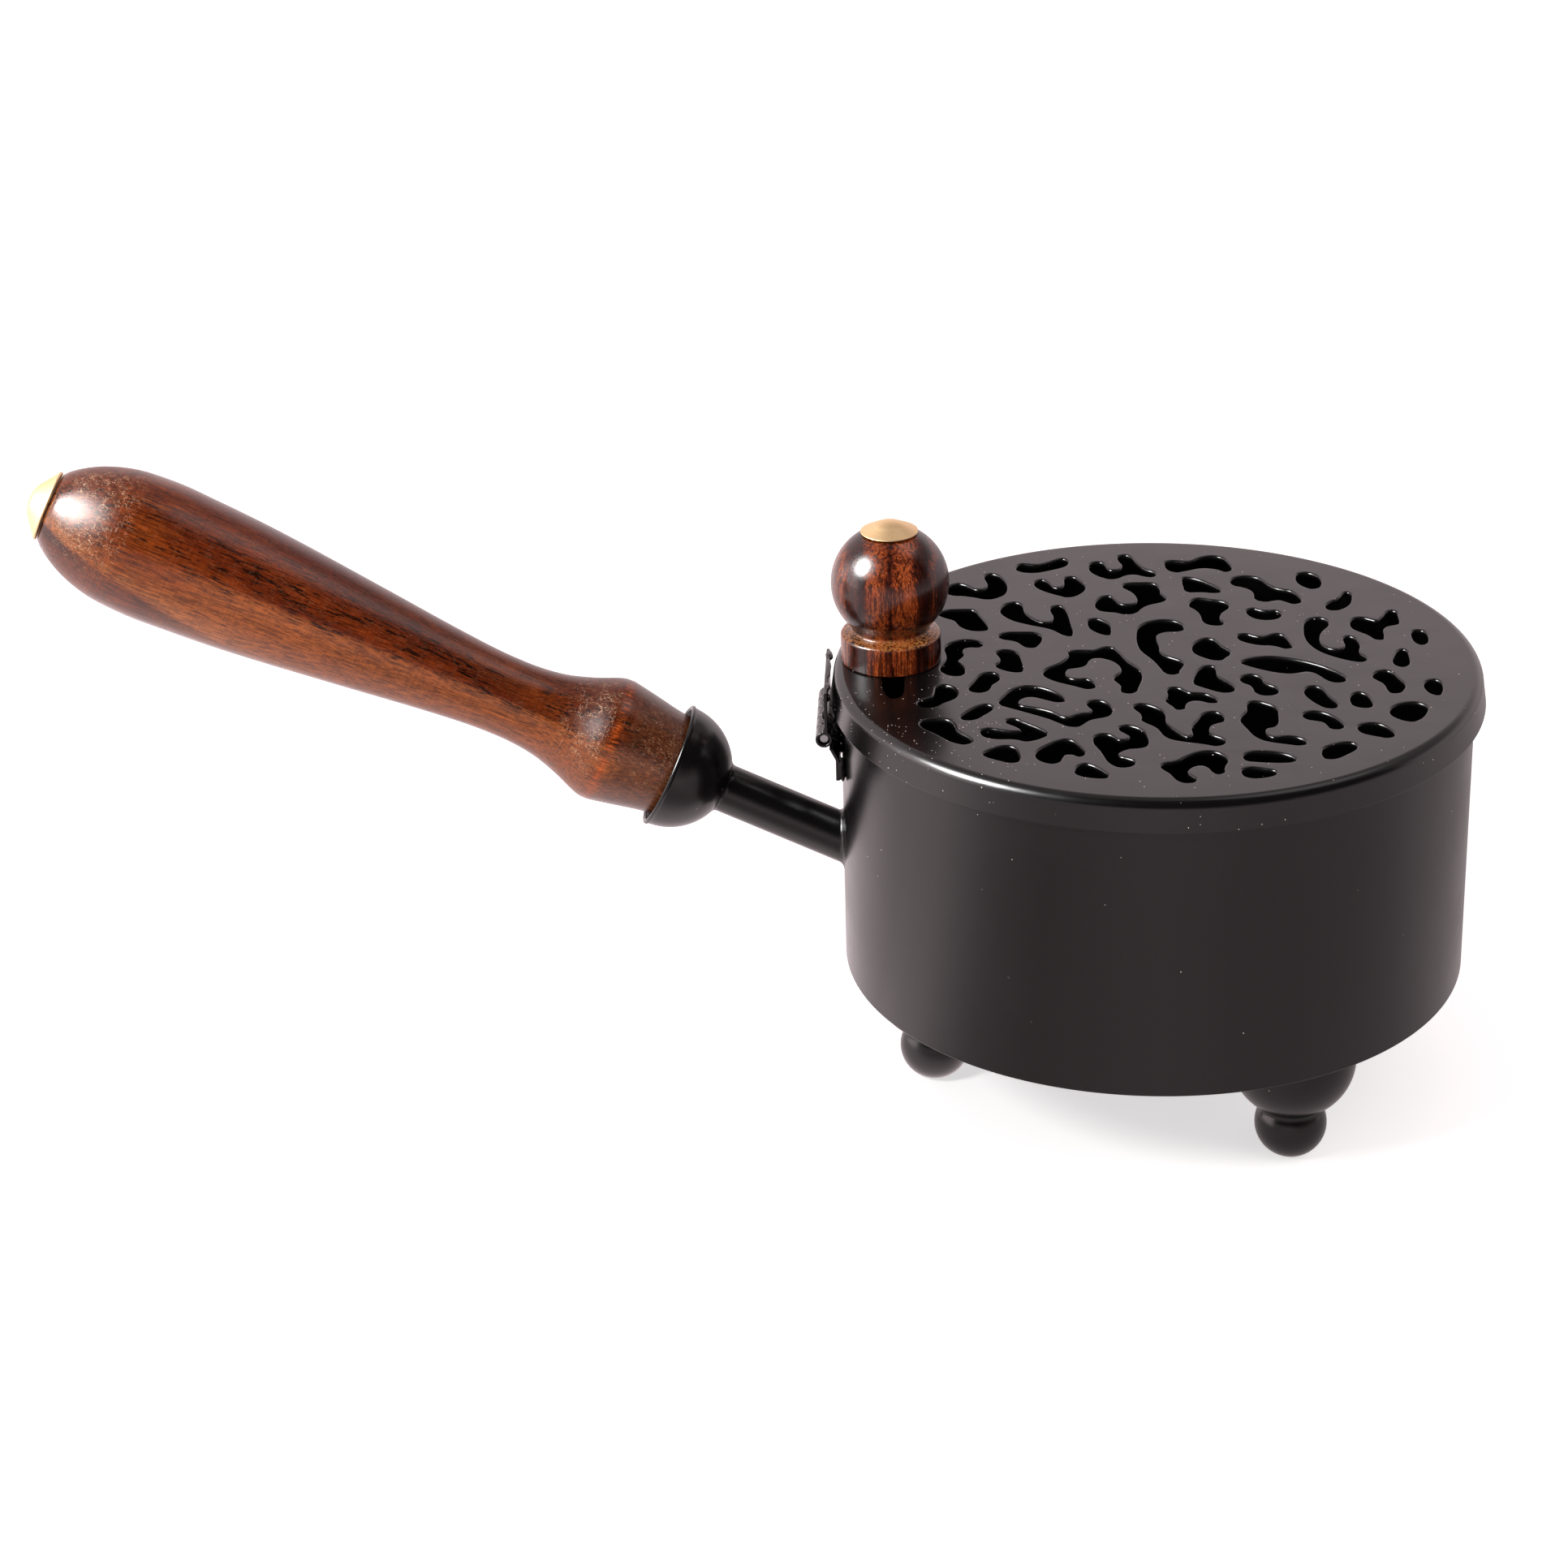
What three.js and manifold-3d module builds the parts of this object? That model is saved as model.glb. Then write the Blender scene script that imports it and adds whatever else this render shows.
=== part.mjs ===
// Incense pan: a footed sheet-metal fire pan with a turned wooden handle and a hinged lid
// pierced with leopard spots. Millimetres, +Z up, the pan stands on its three feet at z = 0.

import * as THREE from "three";
import { mergeVertices } from "three/addons/utils/BufferGeometryUtils.js";
import Module from "manifold-3d";

const wasm = await Module();
wasm.setup();

const degree = Math.PI / 180;
const quarterTurn = Math.PI / 2;

// Pan
const panRadius = 70; // outside of the wall
const panHeight = 69.2; // underside of the base to the rim
const wallSheet = 1.2;
const baseSheet = 1.2;
const weldGap = 0.3; // between two pieces that are welded along a curve

// Feet: two balls turned in one, the upper one cut off flat under the pan
const footCount = 3;
const footInset = 20; // foot's middle to the outside of the wall
const footTurn = 5.8 * degree; // the first foot stands this far round from the handle
const footHeight = 30.9;
const footLowerBall = 8;
const footUpperBall = 14;
const footBallSpacing = 16.8; // centre to centre
const footFlatDepth = 0.31; // ground off the lower ball, so that it stands
const footScrewDepth = 13; // how far the screw reaches into the foot

// Screws
const footScrew = { shank: 2.5, head: 4.5, headHeight: 2.5 };
const knobScrew = { shank: 2, head: 4, headHeight: 2.6 };
const screwClearance = 0.3; // round a shank, in every hole that it passes

// Lid: a shallow cap pressed from one sheet
const lidFit = 1.2; // running gap between the wall and the lid's skirt
const lidHeight = 7.2;
const lidSheet = 1.2;
const lidCorner = 2.4; // outer radius of the pressed corner
const lidRest = 0.3; // running gap between the rim and the lid

// Hinge: a small five-knuckle butt hinge, three knuckles on the lid's leaf and two on the pan's
const hingeLength = 25;
const hingeKnuckles = 5;
const hingeSheet = 0.8;
const hingeStandoff = 0.3; // leaf to what it is welded on
const hingeDrop = 13; // pin's centre below the top of the lid
const knuckleRadius = 1.9;
const knuckleBore = 1.2;
const knuckleGap = 0.3; // end play between two knuckles, and from a knuckle to the other leaf
const pinRadius = 1;
const pinRecess = 0.8; // the pin stops this far inside the barrel
const lidLeafInset = 0.9; // the lid leaf's face lies this far inside the pin's centre
const lidLeafReach = 11.2; // pin's centre to the upper edge of the lid's leaf
const panLeafReach = 10; // pin's centre to the lower edge of the pan's leaf
const panLeafCrank = [1.6, 5]; // the pan's leaf is cranked inwards between these depths
const leafHoleRadius = 1.4;
const leafHoleSpacing = 15;
const leafHoleInset = 3; // hole's centre to the far edge of its leaf

// Handle, measured along its own axis from the point where that meets the wall
const handleTilt = 25.4 * degree; // above the horizontal
const neckHeight = 27.6; // the axis meets the wall this far above the base
const neckRadius = 5.5;
const neckReach = 29; // wall to the pole of the cup
const neckWeld = 1.1; // leg of the weld's fillet on the neck
const cupRadius = 14.05;
const cupSheet = 1;
const cupSkirt = 0.6; // straight stretch past the half ball
const woodClearance = 0.4; // between the wooden end and the cup
const rodRadius = 3;
const rodGrip = 14; // how far the rod is screwed into the neck
const rodClearance = 0.3;

// Wooden grip, turned: [distance from the cup's rim, radius]. It flares from the cup's mouth up to
// a collar with an edge, and the body follows
const mouthClearance = 1.25; // between the wood and the cup at the rim
const gripFlare = [[7, 13]];
const gripCollar = [14, 14.3];
const gripBody = [
  [18, 13.5],
  [21.5, 12.05],
  [29, 9.83],
  [39.5, 8.93], // waist
  [61.5, 10.64],
  [83, 13.02],
  [97, 14.3],
  [114, 15.47],
  [123, 15.83], // belly
  [131, 15.38],
  [138, 13.8],
  [144.7, 10.8],
  [148, 7.8], // butt, flat under its cap
];

// Brass end cap, a turned nut
const endCap = { radius: 8.05, edge: 0.5, flank: 3.9, topRadius: 3.4, height: 4.7, bore: 3.2 };
const endCapSeat = 0.3; // gap to the wood

// Wooden knob on the lid
const knobInset = 13.6; // knob's middle to the lid's edge, on the handle's side
const knobY = 3;
const knobBaseRadius = 11.15;
const knobBaseHeight = 6.5;
const knobBaseEdge = 0.6; // broken edges of the base
const knobBallRadius = 13.1;
const knobBallHeight = 18.3; // centre above the lid
const knobCoveRadius = 8.6; // narrowest, between base and ball
const knobCoveRise = 0.9; // base's top to the narrowest place
const knobUndercut = 0.4; // the ball starts this much outside the narrowest place
const knobCap = { radius: 6.35, edge: 0.3, flank: 1.5, topRadius: 3.8, height: 2.5, bore: 1.2 };
const knobCapOverhang = 0.3; // of the cap past the flat that is cut for it
const knobCapSeat = 0.3; // gap to the wood

// Leopard spots. Each is a closed smooth curve through points x, y in mm from the lid's centre,
// on a lid whose flat top is 70 mm in radius. The handle is towards -x.
const spotFieldRadius = 70;
const spotFacet = 1.8; // length of one straight facet along a spot
const spotLeastFacets = 10;
const leopardSpots = [
  // back rows
  [-30, 54, -29, 52.7, -26, 52, -22.5, 53.4, -18.7, 56, -18, 59, -19.2, 60.5, -22.5, 58.2, -25.5, 56.6,
    -29, 57.4],
  [-13, 55, -12.3, 57.8, -10.5, 58.3, -9.3, 56, -8.6, 53.4, -6, 53.4, -5.2, 56, -6.1, 60, -5.4, 62.5,
    -3.6, 62, -2, 57.5, -0.3, 53.8, 2, 51.5, 1.9, 49, 0.2, 49, -2.3, 50.4, -4.5, 50.2, -7.8, 47.7,
    -10.5, 49.2, -12.6, 52.3],
  [4.8, 56, 5.2, 58.4, 7, 58.5, 10.3, 57.8, 12.5, 59.8, 15, 61.3, 18, 60.5, 19.3, 57.5, 20, 53.5,
    19, 51.5, 16.5, 53.3, 13.2, 54, 10, 52.8, 7, 51.6, 5.4, 53],
  [-46.5, 41.5, -45.5, 44.6, -43.5, 45.7, -41.5, 44.2, -39.5, 42, -37.6, 42.2, -36.8, 45, -37.5, 49.5,
    -36.8, 51.5, -35, 51, -33.3, 48, -32.5, 43.5, -33.4, 38.8, -36.8, 36.2, -39.5, 37.3, -42.5, 38.4,
    -45.5, 39],
  [-26, 44.8, -25.4, 47.2, -24, 47.7, -22.7, 45.3, -21.3, 42.6, -19.8, 42.8, -19, 45.5, -18.8, 48.8,
    -17.3, 49.4, -15.6, 46.8, -14.4, 43, -15.6, 39.4, -18.2, 37.1, -20.8, 38.4, -24.8, 42],
  [-5.6, 43, -5, 44.8, -2, 45.1, 1.5, 44.8, 2.6, 42, 2.7, 39, 3.9, 35.3, 2.6, 33.8, -0.6, 32,
    -2.3, 29.8, -3.6, 27.5, -5.6, 26.8, -8, 28, -11, 28.8, -12.3, 31.5, -11.5, 35.8, -9.5, 37.9,
    -8.2, 36, -6.8, 33, -4.8, 32.3, -3, 33.2, -2.6, 36.5, -3.6, 39.8],
  [8.3, 46.5, 8.8, 48.4, 11, 47.6, 14, 44.8, 16.6, 40.6, 16.2, 39, 12.5, 39.5, 9, 39.8, 8.4, 43],
  [19.4, 44.8, 20.2, 47.8, 22.8, 48.8, 25.8, 47.6, 27.6, 44, 29.8, 41.1, 32.5, 39.8, 34.2, 36.5,
    34.5, 33.2, 33, 32.1, 31.2, 33.4, 29.5, 34.5, 26.5, 33.6, 24.5, 34.8, 24.2, 39.3, 22.6, 41.8,
    20.2, 43.2],
  [34.6, 47, 35.4, 50.2, 37.3, 50.6, 39.5, 48.5, 40.1, 45, 39.2, 41.6, 37.7, 40.9, 36, 42.4,
    34.9, 44.5],
  [40, 30, 40.8, 32.5, 43.3, 35, 45.2, 38.8, 46.1, 38.4, 46.1, 34.5, 45.2, 31.3, 43.2, 28.8, 41.2, 28],
  // behind the knob and on to the right
  [-57, 17, -56.4, 20.6, -54.2, 23, -52.4, 22.4, -52.4, 19.4, -54, 16.6, -55.6, 15.6],
  [-54, 32, -52.2, 36, -49.8, 37.6, -48.8, 36, -50, 33.2, -51.6, 30.6, -53.2, 30.2],
  [-48.3, 27.6, -46.8, 29.6, -43, 30.1, -40.3, 29.8, -39, 26.5, -37.3, 20.8, -37.2, 18.6, -38.5, 17.9,
    -41, 18.3, -43.2, 20.5, -44.6, 24, -46.8, 25.7],
  [-34, 28.5, -33.6, 31.5, -32.2, 33.8, -30.2, 34.1, -29.1, 32, -28.8, 28.5, -26.6, 24.2, -24.4, 22.2,
    -22.7, 22.7, -22, 25.5, -22.6, 30, -21.8, 32, -20.3, 31.8, -19.2, 28.5, -18.4, 21, -18.1, 16.5,
    -18.8, 14.3, -20.4, 15.7, -22.8, 18.6, -27.5, 21.2, -31.5, 24],
  [-14.3, 22, -13.8, 24.2, -12.3, 24.2, -9.8, 21.3, -9.5, 17.5, -9.9, 15, -11.4, 15.5, -13.8, 18.6],
  [-34.6, 14.5, -33.6, 16.4, -30, 16.7, -26.2, 16.2, -25.1, 13.8, -26, 9.8, -27.4, 7.9, -28.8, 8.8,
    -30.8, 11.8, -33.8, 13.2],
  [-46.8, 8, -45.6, 11, -42.8, 12.7, -39.6, 12, -38.4, 10.2, -38.8, 8.8, -41.8, 8.6, -43, 7.4,
    -42.7, 4.2, -44, 1.2, -42.9, -1.8, -42.5, -5, -43.2, -6.8, -45.2, -6.9, -47.3, -5, -47.7, -2.6,
    -46.4, 2, -46.4, 5],
  [-35.3, 5.5, -34.3, 6.8, -32.4, 6.7, -30.7, 5, -30, 1.5, -29.6, -3, -30, -5.1, -32.2, -5, -35.2, -2.5,
    -35.5, -1.4, -34.4, 0.8, -34.5, 3],
  [9.2, 31, 9.6, 34, 10.8, 35.7, 14, 34.8, 17, 33.5, 17.9, 31.6, 17.6, 29.8, 15.9, 27, 15.4, 23.6,
    16.2, 21, 15.4, 20.1, 13, 20.4, 11.7, 22.6, 11.4, 26, 10.5, 29],
  [21.9, 27, 22.3, 29.3, 23.5, 29.6, 25.8, 27.9, 28.6, 28.2, 29.5, 26.4, 28.6, 23.9, 26, 22.9,
    23.5, 23.9],
  [34, 17, 34.5, 21, 35.9, 23.4, 38, 23.9, 39.4, 22.6, 39.6, 20, 37.6, 15.8, 36.9, 12.5, 37.2, 8.6,
    39.4, 6, 41.4, 5.9, 42.5, 8.5, 42.3, 11.8, 43.2, 13.3, 44.4, 12.8, 45.5, 8.5, 45, 4.3, 46.4, 0.8,
    45.8, -0.8, 43.8, -0.7, 40.4, 1.3, 36.8, 4.7, 34.6, 9.3, 33.9, 13.5],
  [44.7, 18.8, 45, 22, 46.3, 23.8, 48.3, 23.5, 50.6, 21.8, 52.2, 24, 54, 27.6, 55.3, 27.7, 55.6, 24.5,
    55.2, 20, 53.2, 19, 51.7, 17.6, 51.4, 13.5, 50.7, 11, 49.8, 11.1, 48.1, 13.9, 45.2, 17.2],
  [57.7, 13, 58.2, 15.8, 59.4, 16.6, 60.7, 15.3, 61.1, 12, 60.4, 9, 59.4, 8.1, 58.2, 9.5],
  [18.9, 13, 19.4, 14.8, 20.8, 14.9, 23.8, 13, 25.8, 13.9, 27.6, 15, 28.7, 14.4, 30.2, 9.3, 30.3, 6.8,
    29.2, 6.6, 26.6, 8.3, 23, 8.9, 19.6, 11.2],
  [8.4, 6.5, 8.8, 9.3, 10.2, 11.6, 11.9, 12.7, 13.4, 11.7, 14.4, 9, 16.6, 4.6, 15.4, 2.2, 14.4, 0.6,
    13, 0.5, 10.3, 2.5, 8.9, 4.3],
  [52.1, -1, 52.8, 2.2, 54.3, 5.6, 55.3, 5.7, 55.7, 2.5, 55.4, -2, 54.3, -3.9, 52.9, -3.5],
  // middle
  [-19.2, 5.6, -17.3, 6.3, -13.5, 6.2, -11.5, 7.9, -9.8, 8, -8.6, 6, -6.6, 0.5, -4.2, -4, -3.6, -8,
    -4.6, -13.3, -5.6, -16.6, -7.2, -17.1, -8.3, -16, -8.2, -13, -9.6, -9.5, -9.3, -8, -7.9, -5.5,
    -8, -2.5, -9.6, 0.5, -12.3, 2.2, -14.6, 1.7, -15.6, -1.2, -17, -2.9, -19.6, -3.6, -20.4, -6,
    -19.6, -8.6, -17.5, -9.6, -15.6, -9.3, -14.5, -11, -14, -13.6, -15.2, -14.6, -18.5, -12.8,
    -23.2, -9.6, -25, -6.8, -24.4, -3.8, -21.6, -1, -20, 1.2, -19.1, 3.4],
  [-3.6, 15, -3, 19, -1.2, 21.8, 1.6, 23.2, 4.4, 22.9, 6.2, 21.6, 6.9, 19, 6.4, 17, 3.2, 16.6,
    0.9, 15.3, 0.5, 12.5, 0.9, 8.5, 1, 5, 2.4, 2.8, 5.3, 0.2, 5.9, -1.8, 4.9, -4.2, 4.3, -6.7, 3, -7.2,
    1.7, -6, 0.6, -2.5, -0.7, 1.2, -2.9, 6, -3.6, 10],
  [18.7, -1, 20.2, 0.9, 24.5, 2.1, 28.5, 1.3, 33, -0.9, 37.3, -4.4, 40.6, -9, 40.6, -11.2, 39, -12.1,
    37.2, -11.2, 34.7, -7.2, 33, -6, 29, -7, 25.5, -6.1, 20.6, -3],
  [7.7, -11.2, 8.3, -7.6, 9.6, -4, 11.5, -2.4, 12.6, -3.6, 12.9, -8.2, 15.6, -12.6, 16.2, -15.4,
    15.2, -16.9, 13.3, -16.8, 9, -13.6, 7.9, -12.5],
  [17.9, -10.3, 18.8, -8, 20.4, -7.5, 22.2, -8.9, 22.9, -12, 25.2, -14.6, 25.6, -16.8, 24.5, -18.4,
    22.3, -18.6, 20.8, -17, 20.2, -13.7, 18.6, -11.9],
  [46.9, -9.4, 47.6, -7, 49.2, -5.7, 50.8, -6.4, 52.2, -10, 53.3, -13.3, 52.9, -15.5, 51.5, -17.9,
    50.3, -18, 49.5, -16.3, 49, -13, 47.7, -11],
  [57.5, -15, 58, -12.2, 59.4, -10.8, 60.9, -11.6, 61.3, -14.5, 60.7, -17.8, 59.7, -19.4, 58.4, -18],
  [1.1, -21, 1.8, -18.5, 1.8, -15.5, 2.9, -14, 4.2, -14.6, 6.6, -17.2, 9.3, -17.5, 11.4, -19.6,
    12.2, -21.8, 11.2, -22.6, 8.3, -21.2, 6.4, -21.3, 5.2, -22.7, 4.6, -25.5, 3.6, -26, 2.5, -24],
  [31.3, -17.5, 31.9, -15, 33.1, -13.8, 34.8, -14.9, 36.3, -19.5, 37.7, -23.2, 37.5, -25.2, 36, -25.7,
    34.2, -24.2, 32, -20.2],
  [40.9, -22.4, 41.2, -19.3, 42.6, -17.4, 44.1, -18.2, 45.3, -23.4, 44.9, -25.1, 43, -25.4,
    41.4, -24.4],
  [48.7, -28, 49.5, -25.4, 52, -23.2, 55, -23.1, 56.8, -25.2, 56.2, -28.6, 54.7, -31.4, 52.8, -32.8,
    51, -32, 49.2, -30],
  [-41.5, -13.8, -40.2, -10, -38.8, -6.5, -37, -5.3, -35.4, -6.2, -34.9, -9.2, -36.5, -11.8,
    -37.6, -15.2, -39.4, -16.1, -41.2, -15.2],
  [-52.7, -21.8, -52.2, -20, -49.6, -18.2, -48.9, -15.5, -48.6, -12.8, -47, -11.9, -45.2, -13.1,
    -44.1, -16.5, -45, -19.4, -47.3, -21.4, -49.2, -23.4, -51.6, -23.6],
  [-60.6, -9, -59.8, -6, -57.8, -5.2, -56, -6.5, -55.8, -10, -55.8, -14, -56.4, -17.6, -57.8, -18.9,
    -59.2, -17.6, -60.3, -13],
  // front rows
  [-43.3, -28.8, -41.9, -26, -39.2, -22.9, -37.4, -22.5, -36.4, -24, -37.4, -26.4, -39, -28.5,
    -40.2, -30.1, -42, -30.5, -43.2, -29.9],
  [-52.1, -32.2, -51.4, -30.4, -48.6, -29.8, -46.2, -30.4, -44.9, -32.5, -44.3, -35.8, -41.5, -39.8,
    -41.2, -41.8, -42.6, -42.8, -45, -41.7, -48.7, -37.3, -51.3, -34.4],
  [-39, -37.4, -38.8, -35.3, -37.5, -34.9, -34.5, -36, -31.8, -36.6, -30.3, -36, -31.5, -34, -33.5, -32,
    -33.4, -30.4, -32, -30, -29.8, -32, -25.7, -36.3, -25, -38, -26.4, -39.9, -29.4, -41.5,
    -31.8, -40.4, -35.8, -40.2, -38, -39.3],
  [-35, -21.3, -33.6, -17.6, -32, -14.6, -29.6, -13, -26.8, -13.3, -23.4, -15.7, -21.3, -19, -20.9, -21,
    -22, -21.5, -24.4, -20.4, -27.2, -18.7, -29.4, -18.8, -30.9, -20.6, -30.6, -23, -27.5, -24.4,
    -24, -26.4, -20.9, -29.7, -19.9, -29.5, -18.2, -27.9, -15.6, -27.3, -14.9, -25.6, -16, -23,
    -15.5, -21.2, -13.9, -20.7, -12, -21.9, -10.8, -25.6, -11.8, -28.9, -15.2, -30.5, -16.8, -32,
    -18, -34, -19.8, -34.2, -24.6, -29.9, -32.2, -24.5, -34.4, -22.9],
  [-38.7, -47.8, -37.3, -45.6, -34.3, -43.8, -32.3, -44.4, -31.3, -47.5, -31.3, -51.2, -32.4, -52.2,
    -35.2, -51, -38, -49],
  [-27.6, -49, -27, -46, -24, -42.4, -21.8, -40.8, -20, -41.2, -18.2, -44.6, -17.4, -48, -18.2, -49.3,
    -20, -48.2, -21.4, -48.2, -22.4, -50.5, -23.2, -52.4, -24.8, -52.6, -26.9, -50.9],
  [-15.2, -41.3, -14.7, -38.9, -13, -38, -11.2, -39.2, -9.8, -41.2, -8.1, -41, -7.4, -39.4, -9.5, -35.9,
    -9.1, -34, -7.4, -34, -4.7, -36.3, -3.8, -40, -3.9, -43.2, -4.9, -45, -7.6, -45.5, -9.6, -46.8,
    -10.5, -48.8, -7.4, -51.2, -6.9, -52.6, -8.2, -54.4, -9.9, -54.8, -12, -52.8, -13.8, -46.6,
    -15, -43],
  [-19.5, -57.4, -18.9, -54, -18, -52.9, -16.2, -53.6, -13.2, -57.5, -12.7, -59.3, -13.8, -60,
    -18.2, -58.9],
  [-6, -24.2, -5, -22.8, -3.2, -23.2, -0.4, -25.8, 0.4, -28, 0.5, -32.5, 2, -36, 4.8, -40, 5.9, -39,
    6, -35, 7.6, -31, 8.9, -27.9, 10.8, -27, 12.3, -28.2, 13, -30.6, 12.2, -32.6, 10.3, -33.4, 9.4, -36,
    9.8, -38.6, 12.3, -41.2, 12.4, -43, 10.8, -44.4, 8, -43.4, 2, -41.3, 0.3, -39.8, -1.5, -35,
    -4.4, -31.3, -4.4, -28.3],
  [-1.6, -54.6, -0.8, -52.9, 1.6, -52, 4.2, -49.4, 6.6, -47.5, 9.4, -47.2, 11.6, -49, 12.4, -52,
    11.5, -54.6, 11.3, -57.4, 10.2, -58.4, 9, -57, 8, -54.6, 6.4, -53.9, 4.4, -55.3, 3.7, -57.8,
    5.3, -60.4, 4.9, -62, 3.2, -62.5, 1.7, -61.4, 0.2, -57.9],
  [16.6, -32, 17, -29.4, 18.2, -27, 18.8, -22.6, 20, -21.7, 24.3, -25, 24.6, -29, 24.1, -33.5,
    23, -35.2, 21.4, -36, 21.4, -38, 22.6, -40.4, 25, -40, 27.6, -40.3, 29.4, -42.3, 28.9, -44.4,
    26.8, -44.1, 21, -41.9, 19.2, -39.8, 17.6, -35.4],
  [15.9, -50.4, 16.6, -48.1, 18.6, -47.4, 23.2, -48.1, 25.8, -49.8, 26.7, -51.9, 25, -52.8, 18.4, -52.4,
    16.5, -51.8],
  [15.1, -57.8, 15.6, -55.6, 17, -55.2, 20.4, -56.2, 22.2, -57.3, 21.6, -59, 17.8, -60.4, 15.9, -59.8],
  [30, -29.8, 30.6, -27.8, 32.6, -27.2, 35.3, -28.8, 37.6, -32.6, 38, -35.5, 36.6, -36.5, 35.2, -35.8,
    34.5, -33.2, 32.6, -32, 30.8, -31.2],
  [41.2, -37, 41.4, -34.7, 43.3, -33.5, 45.8, -34, 47.6, -36.4, 48.4, -39.6, 47.3, -40.9, 44.5, -40,
    42, -38.5],
  [32.5, -49.4, 33, -46, 35, -44.2, 38.2, -43.1, 39.8, -44, 39.6, -46.4, 37.2, -49.2, 35, -51.1,
    33.2, -51.2],
];

// Facets round the turned pieces
const panFacets = 64;
const woodFacets = 24;
const footFacets = 20;
const smallFacets = 14;

// Facets along a profile
const ballSteps = 6;
const cornerSteps = 3;
const gripFlareSteps = 3;
const gripSteps = 21;

const cutOver = 1; // a cutter reaches this far past what it cuts

// Places that follow from the sizes
const baseTop = footHeight + baseSheet;
const rimTop = footHeight + panHeight;
const lidUnder = rimTop + lidRest;
const lidTop = lidUnder + lidSheet;
const footCircle = panRadius - footInset;
const lidRadius = panRadius + lidFit + lidSheet;
const lidFlatRadius = lidRadius - lidCorner;
const knobX = knobInset - lidRadius;
const hingeHeight = lidTop - hingeDrop;
const hingeRadius = lidRadius + hingeStandoff + lidLeafInset; // pan's axis to the pin
const cupRimAt = neckReach + cupRadius + cupSkirt;
const gripLength = gripBody[gripBody.length - 1][0];
const gripEndAt = cupRimAt + gripLength;

// Finishes
const blackPaint = new THREE.MeshStandardMaterial({ color: 0x2c292a, roughness: 0.42, metalness: 0.1 });
const polishedWood = new THREE.MeshStandardMaterial({ color: 0x6b2f18, roughness: 0.4, metalness: 0 });
const satinBrass = new THREE.MeshStandardMaterial({ color: 0xcba968, roughness: 0.35, metalness: 1 });
const plainSteel = new THREE.MeshStandardMaterial({ color: 0x8d8f92, roughness: 0.4, metalness: 1 });

// Turn a closed profile of [radius, height] pairs round +Z; the outline runs anticlockwise
function turned(profile, facets) {
  const points = profile.map(([radius, height]) => new THREE.Vector2(radius, height));
  return new THREE.LatheGeometry(points, facets).rotateX(quarterTurn);
}

// Points of a circular arc in a profile, both ends included
function arc(centreRadius, centreHeight, radius, fromAngle, toAngle, steps) {
  const points = [];
  for (let step = 0; step <= steps; step += 1) {
    const angle = fromAngle + ((toAngle - fromAngle) * step) / steps;
    points.push([centreRadius + radius * Math.cos(angle), centreHeight + radius * Math.sin(angle)]);
  }
  return points;
}

// Points of a shallow dome in a profile, from its edge up to its middle
function dome(edgeRadius, edgeHeight, rise) {
  const radius = (edgeRadius ** 2 + rise ** 2) / (2 * rise);
  const centreHeight = edgeHeight + rise - radius;
  const edgeAngle = Math.asin((edgeHeight - centreHeight) / radius);
  const points = arc(0, centreHeight, radius, edgeAngle, quarterTurn, cornerSteps);
  return [...points.slice(0, -1), [0, edgeHeight + rise]];
}

// Geometry to a solid that can be cut and joined, and back
function solid(geometry) {
  const bare = geometry.clone();
  bare.deleteAttribute("normal");
  bare.deleteAttribute("uv");
  const merged = mergeVertices(bare, 1e-5);
  const corners = merged.index.array;
  const kept = [];
  for (let i = 0; i < corners.length; i += 3) {
    const [a, b, c] = [corners[i], corners[i + 1], corners[i + 2]];
    if (a !== b && b !== c && c !== a) {
      kept.push(a, b, c);
    }
  }
  const vertProperties = new Float32Array(merged.attributes.position.array);
  const triVerts = new Uint32Array(kept);
  return new wasm.Manifold(new wasm.Mesh({ numProp: 3, vertProperties, triVerts }));
}

function geometryOf(body) {
  const mesh = body.getMesh();
  const geometry = new THREE.BufferGeometry();
  geometry.setAttribute("position", new THREE.BufferAttribute(mesh.vertProperties, 3));
  geometry.setIndex(new THREE.BufferAttribute(mesh.triVerts, 1));
  geometry.computeVertexNormals();
  return geometry;
}

// A plain round bar along +Z from one height to another
function bar(radius, from, to, facets) {
  return turned([[0, from], [radius, from], [radius, to], [0, to]], facets);
}

function part(name, geometry, material) {
  const mesh = new THREE.Mesh(geometry, material);
  mesh.name = name;
  return mesh;
}

// Rolled wall, open at both ends
function makePanWall() {
  const inner = panRadius - wallSheet;
  const profile = [
    [inner, footHeight],
    [panRadius, footHeight],
    [panRadius, rimTop],
    [inner, rimTop],
    [inner, footHeight],
  ];
  return part("pan_wall", turned(profile, panFacets), blackPaint);
}

// Flat disc let into the foot of the wall, with a screw hole over each foot
function makePanBase() {
  const edge = panRadius - wallSheet - weldGap;
  let disc = solid(bar(edge, footHeight, baseTop, panFacets));
  for (let index = 0; index < footCount; index += 1) {
    const place = footPlace(index);
    const radius = footScrew.shank + screwClearance;
    const hole = bar(radius, footHeight - cutOver, baseTop + cutOver, smallFacets);
    hole.translate(place.x, place.y, 0);
    disc = disc.subtract(solid(hole));
  }
  return part("pan_base", geometryOf(disc), blackPaint);
}

function footPlace(index) {
  const angle = Math.PI + footTurn + (index * 2 * Math.PI) / footCount;
  return new THREE.Vector3(footCircle * Math.cos(angle), footCircle * Math.sin(angle), 0);
}

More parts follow.
